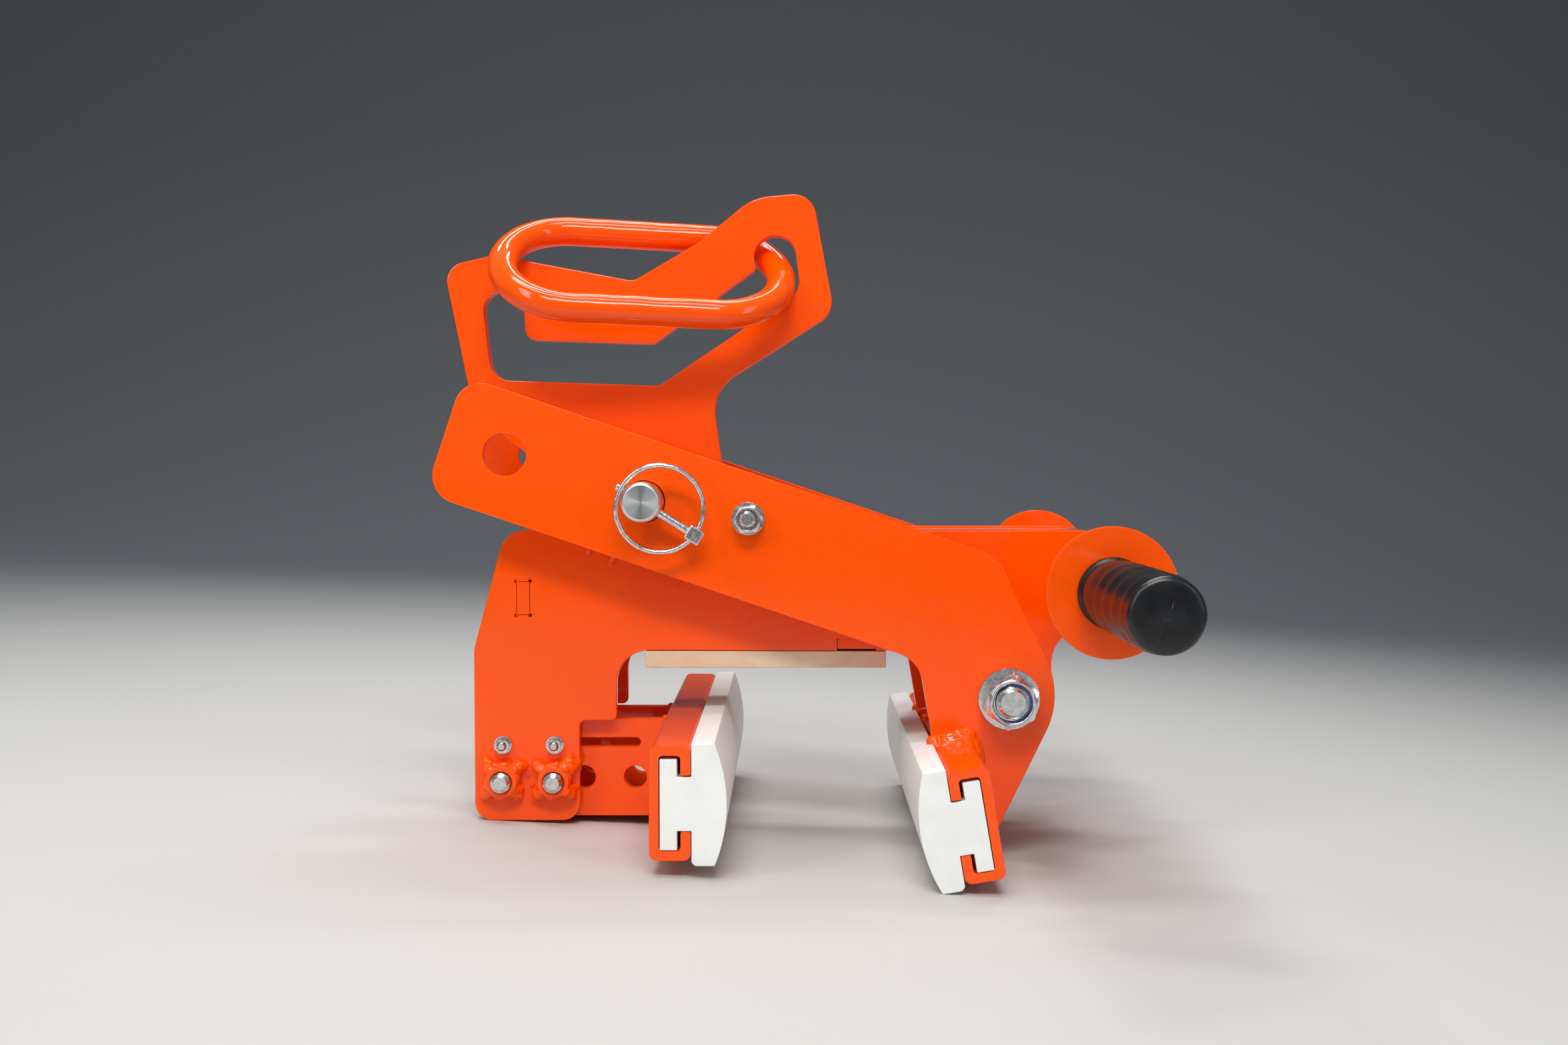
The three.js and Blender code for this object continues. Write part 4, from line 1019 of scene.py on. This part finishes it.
# The nuts: lumps at their corners, none alike. A lump is its (along, up) from the nut's middle at
# the plate, halfway and on the nut, and its size.
lumps = {
    clamp_columns[0]: (
        ((-8.6, 10.4), (-7.4, 7.6), (-5.6, 5.6), 2.3), ((10.6, 6.8), (8.2, 7.0), (5.8, 5.4), 2.5),
        ((7.6, 8.6), (6.8, 7.0), (5.2, 5.6), 2.0), ((-9.4, -8.8), (-7.6, -6.6), (-5.6, -5.0), 2.4),
        ((7.6, -8.4), (6.8, -6.8), (5.2, -5.2), 2.5), ((9.4, -4.2), (7.8, -4.0), (6.2, -3.6), 1.9),
    ),
    clamp_columns[1]: (
        ((-10.6, 8.8), (-8.6, 7.2), (-6.0, 5.4), 2.3), ((7.8, 11.4), (6.8, 8.6), (5.4, 5.8), 2.6),
        ((11.0, 9.0), (8.6, 7.0), (6.2, 5.2), 2.5), ((-10.2, -9.6), (-8.2, -7.2), (-6, -5), 2.5),
        ((8.8, -8.0), (7.4, -6.6), (5.8, -5.0), 2.6), ((10.8, -3.4), (8.4, -3.4), (6.6, -3), 1.6),
    ),
}
lump_depths = (-31.0, -32.8, -35.6)
nut_runs = []
for column, shapes in lumps.items():
    for *places, size in shapes:
        points = [(column + x, y, clamp_z + z) for (x, z), y in zip(places, lump_depths)]
        nut_runs.append((points, (0.95 * size, 1.3 * size, 1.2 * size)))
    ridge = [
        (column + x, y, clamp_z + z)
        for x, y, z in ((-6.2, -34.8, 5.8), (-3, -36.4, 7.8), (1.5, -36.6, 8.6), (5.6, -35.0, 6.6))
    ]
    nut_runs.append((ridge, 1.5))
for x, z in ((-238.4, -42.6), (-236.5, -46.9), (-236.5, -47.9)):
    nut_runs.append(([(x, -30.8, z), (x + 0.2, -31.0, z)], 0.9))
weld("nut_welds", "frame", 11, nut_runs, 0.36, 0.34, 1.5)


def on_jaw(out, down, y):
    """A point by the moving channel: out from its back, down from its top."""
    return tuple(moving_place @ Vector((out, y, -down)))


jaw_runs = []
for side in (-1, 1):
    face, inner = side * arm_outer, side * (arm_inner - 0.6)

    def fillet(*places, side=side, face=face):
        """Points of a run: places are (out, down, off the plate)."""
        return [on_jaw(out, down, face + side * off) for out, down, off in places]

    jaw_runs += [
        (fillet((-18.4, -1.2, 0.6), (-10, -1.4, 0.6), (-1.5, -1.2, 0.8)), (3.6, 4.3, 4.6)),
        (fillet((-18.6, 0.4, 3.4), (-10, 0.8, 4.2), (-2.5, 0.8, 4.6)), (2.4, 3.2, 3.8)),
        (fillet((-15.0, 1.2, 6.4), (-8, 1.4, 8.0), (-2.6, 1.6, 9.4)), (1.8, 2.4, 3.0)),
        (fillet((-2.6, 1.8, 9.4), (-2.6, 2.4, 14.0), (-2.4, 2.8, 19.0)), (3.0, 2.8, 2.2)),
        (fillet((-1.5, 0.5, 1.0), (0.9, 4.5, 0.8), (1.0, 12, 0.6), (0.8, 26, 0.4)),
         (4.4, 4.6, 4.2, 3.2)),
        (fillet((-0.4, 3.0, 5.0), (0.2, 6.0, 9.0), (-0.6, 5.0, 14.0)), (3.4, 2.8, 2.0)),
        ([on_jaw(-17.5, -0.2, inner), on_jaw(-1.0, -0.4, inner)], 2.6),
        ([on_jaw(0.4, 3, inner), on_jaw(0.4, 40, inner)], 2.2),
    ]
weld("moving_jaw_welds", "arm", 5, jaw_runs, 0.45, 0.22, 2.6, 12)

# The carrier against the fixed jaw: outside and inside its flanges, and under it
jaw_back, carrier_runs = -170.0, []
for side in (-1, 1):
    carrier_runs.append(([(jaw_back, side * 22.6, -16.2), (jaw_back, side * 22.6, -62.0)], 1.7))
    carrier_runs.append(([(jaw_back, side * 18.2, -15.6), (jaw_back, side * 17.8, -58.0)], 2.2))
carrier_runs.append(([(jaw_back, -17, -64.0), (jaw_back, 17, -64.0)], 1.7))
weld("carrier_welds", "frame", 7, carrier_runs, 0.4)

# Short plug welds on the frame plates, under the arm plates
plug_runs = []
for y in (-30.6, 30.6):
    for x, z in ((-207.4, 70.4), (-196.1, 64.4)):
        plug_runs.append(([(x, y, z), (x + 1.6, y, z + 5), (x + 2.0, y, z + 8)], 1.7))
weld("plug_welds", "frame", 13, plug_runs, 0.36)


def circle_run(x, z, radius, y, size=1.8, steps=24):
    """A closed run round an axis across the clamp."""
    turns = [math.tau * k / steps for k in range(steps + 1)]
    return [(x + radius * math.cos(a), y, z + radius * math.sin(a)) for a in turns], size


at_plate, at_disc = frame_outer + 0.5, disc_inner - seat
bush_runs = [circle_run(0, 0, 13.6, side * at_plate) for side in (-1, 1)]
weld("bush_welds", "frame", 3, bush_runs, 0.4)
handle_runs = [
    circle_run(handle_x, handle_z, 12.7, side * y) for side in (-1, 1) for y in (at_plate, at_disc)
]
weld("handle_welds", "frame", 9, handle_runs, 0.4)

# Studio: a pale floor, with a painted pool of light round the clamp, that rises behind as a backdrop, soft lamps
# and the camera


def paper_with_painted_light_pool():
    """Matt paper, finely mottled, with a painted pool of light: its colour is pale round the clamp and shades off
    to grey away from it, as if lamps lit only the middle.
    """
    material, tree, shader, place = surface("paper_with_painted_light_pool", Roughness=0.8, IOR=1.45)
    # Painted pool of light: the paper's colour darkens with distance from the clamp, pale within 0.3 m and grey
    # from 1.7 m
    away = add(tree, "VectorMath", {"Vector": place}, operation="LENGTH").outputs["Value"]
    share = add(tree, "MapRange", {"Value": away, "From Min": 0.3, "From Max": 1.7},
                interpolation_type="SMOOTHSTEP")
    mottle_and_painted_pool = add(
        tree, "Math", {0: grains(tree, place, 400, 3), 1: 0.04, 2: share.outputs["Result"]},
        operation="MULTIPLY_ADD",
    ).outputs[0]
    # The paper's colour: painted light near the clamp, painted shade away from it, over a faint mottle
    tone = tones(tree, mottle_and_painted_pool, (0.02, "#BDBCB9"), (1.0, "#686C70"))
    tree.links.new(tone, shader.inputs["Base Color"])
    return material


# In metres: the paper's left end, its front and back edges, its top and its width
paper_left, paper_front, paper_back, paper_top, paper_width = -6, -5, 3, 4, 12
paper_run = ((paper_front, 0), (paper_back, 0), (paper_back, paper_top))
sweep = bmesh.new()
corner = [sweep.verts.new((paper_left, y, z)) for y, z in paper_run]
for pair in (corner[:2], corner[1:]):
    sweep.edges.new(pair)
bmesh.ops.bevel(
    sweep, geom=[corner[1]], offset=1.6, segments=16, profile=0.5, affect="VERTICES", material=-1
)
drawn = bmesh.ops.extrude_edge_only(sweep, edges=sweep.edges[:])["geom"]
moved = [part for part in drawn if isinstance(part, bmesh.types.BMVert)]
bmesh.ops.translate(sweep, verts=moved, vec=(paper_width, 0, 0))
bmesh.ops.recalc_face_normals(sweep, faces=sweep.faces)
for face in sweep.faces:
    face.smooth = True
sweep_mesh = bpy.data.meshes.new("studio_sweep")
sweep.to_mesh(sweep_mesh)
sweep.free()
sweep_mesh.materials.append(paper_with_painted_light_pool())
backdrop = bpy.data.objects.new("studio_sweep", sweep_mesh)
bpy.context.scene.collection.objects.link(backdrop)


def lamp(name, place, aim, width, height, power):
    """A rectangular soft lamp at place, turned to aim, in metres and watts."""
    data = bpy.data.lights.new(name, "AREA")
    data.shape, data.size, data.size_y, data.energy = "RECTANGLE", width, height, power
    made = bpy.data.objects.new(name, data)
    back = (Vector(place) - Vector(aim)).normalized()
    side = Vector((0, 0, 1)).cross(back).normalized()
    turned = Matrix((side, back.cross(side), back)).transposed().to_4x4()
    made.matrix_world = Matrix.Translation(place) @ turned
    bpy.context.scene.collection.objects.link(made)


middle = (0, 0, 0.1)
lamp("key", (-1.3, -1.2, 1.1), middle, 0.3, 1.4, 9)
lamp("fill", (1.4, -1.3, 0.9), middle, 0.3, 1.4, 4)
lamp("front", (-0.1, -1.3, 1.5), middle, 1.0, 0.3, 19)
lamp("over_front", (-0.2, -0.5, 2.0), middle, 1.3, 0.16, 11)
lamp("over", (-0.2, 0.25, 2.0), middle, 1.3, 0.16, 10)
lamp("over_back", (-0.2, 0.9, 1.9), middle, 1.6, 0.16, 15)

world = bpy.data.worlds.new("studio")
world.use_nodes = True
bpy.context.scene.world = world
sky = world.node_tree.nodes["Background"]
sky.inputs["Color"].default_value = linear("#D3D6DA")
sky.inputs["Strength"].default_value = 0.34

# Camera: 0.84 m in front of the pivot, 0.12 m above it and to its left, turned as in the photograph
camera = bpy.data.cameras.new("camera")
camera.lens, camera.sensor_width = 37.06, 36
camera.clip_start, camera.clip_end = 0.05, 50
right = Vector((0.99998, 0.005778, -0.000229))
up = Vector((0, 0.039621, 0.999215))
back = Vector((0.005783, -0.999198, 0.039621))
turn = Matrix((right, up, back)).transposed().to_4x4()
viewer = bpy.data.objects.new("camera", camera)
eye = level @ Vector((-104.9, -837, 116.9))
viewer.matrix_world = Matrix.Translation(eye) @ Matrix.Rotation(-lean, 4, "Y") @ turn
bpy.context.scene.collection.objects.link(viewer)
bpy.context.scene.camera = viewer
bpy.context.scene.view_settings.view_transform = "Standard"
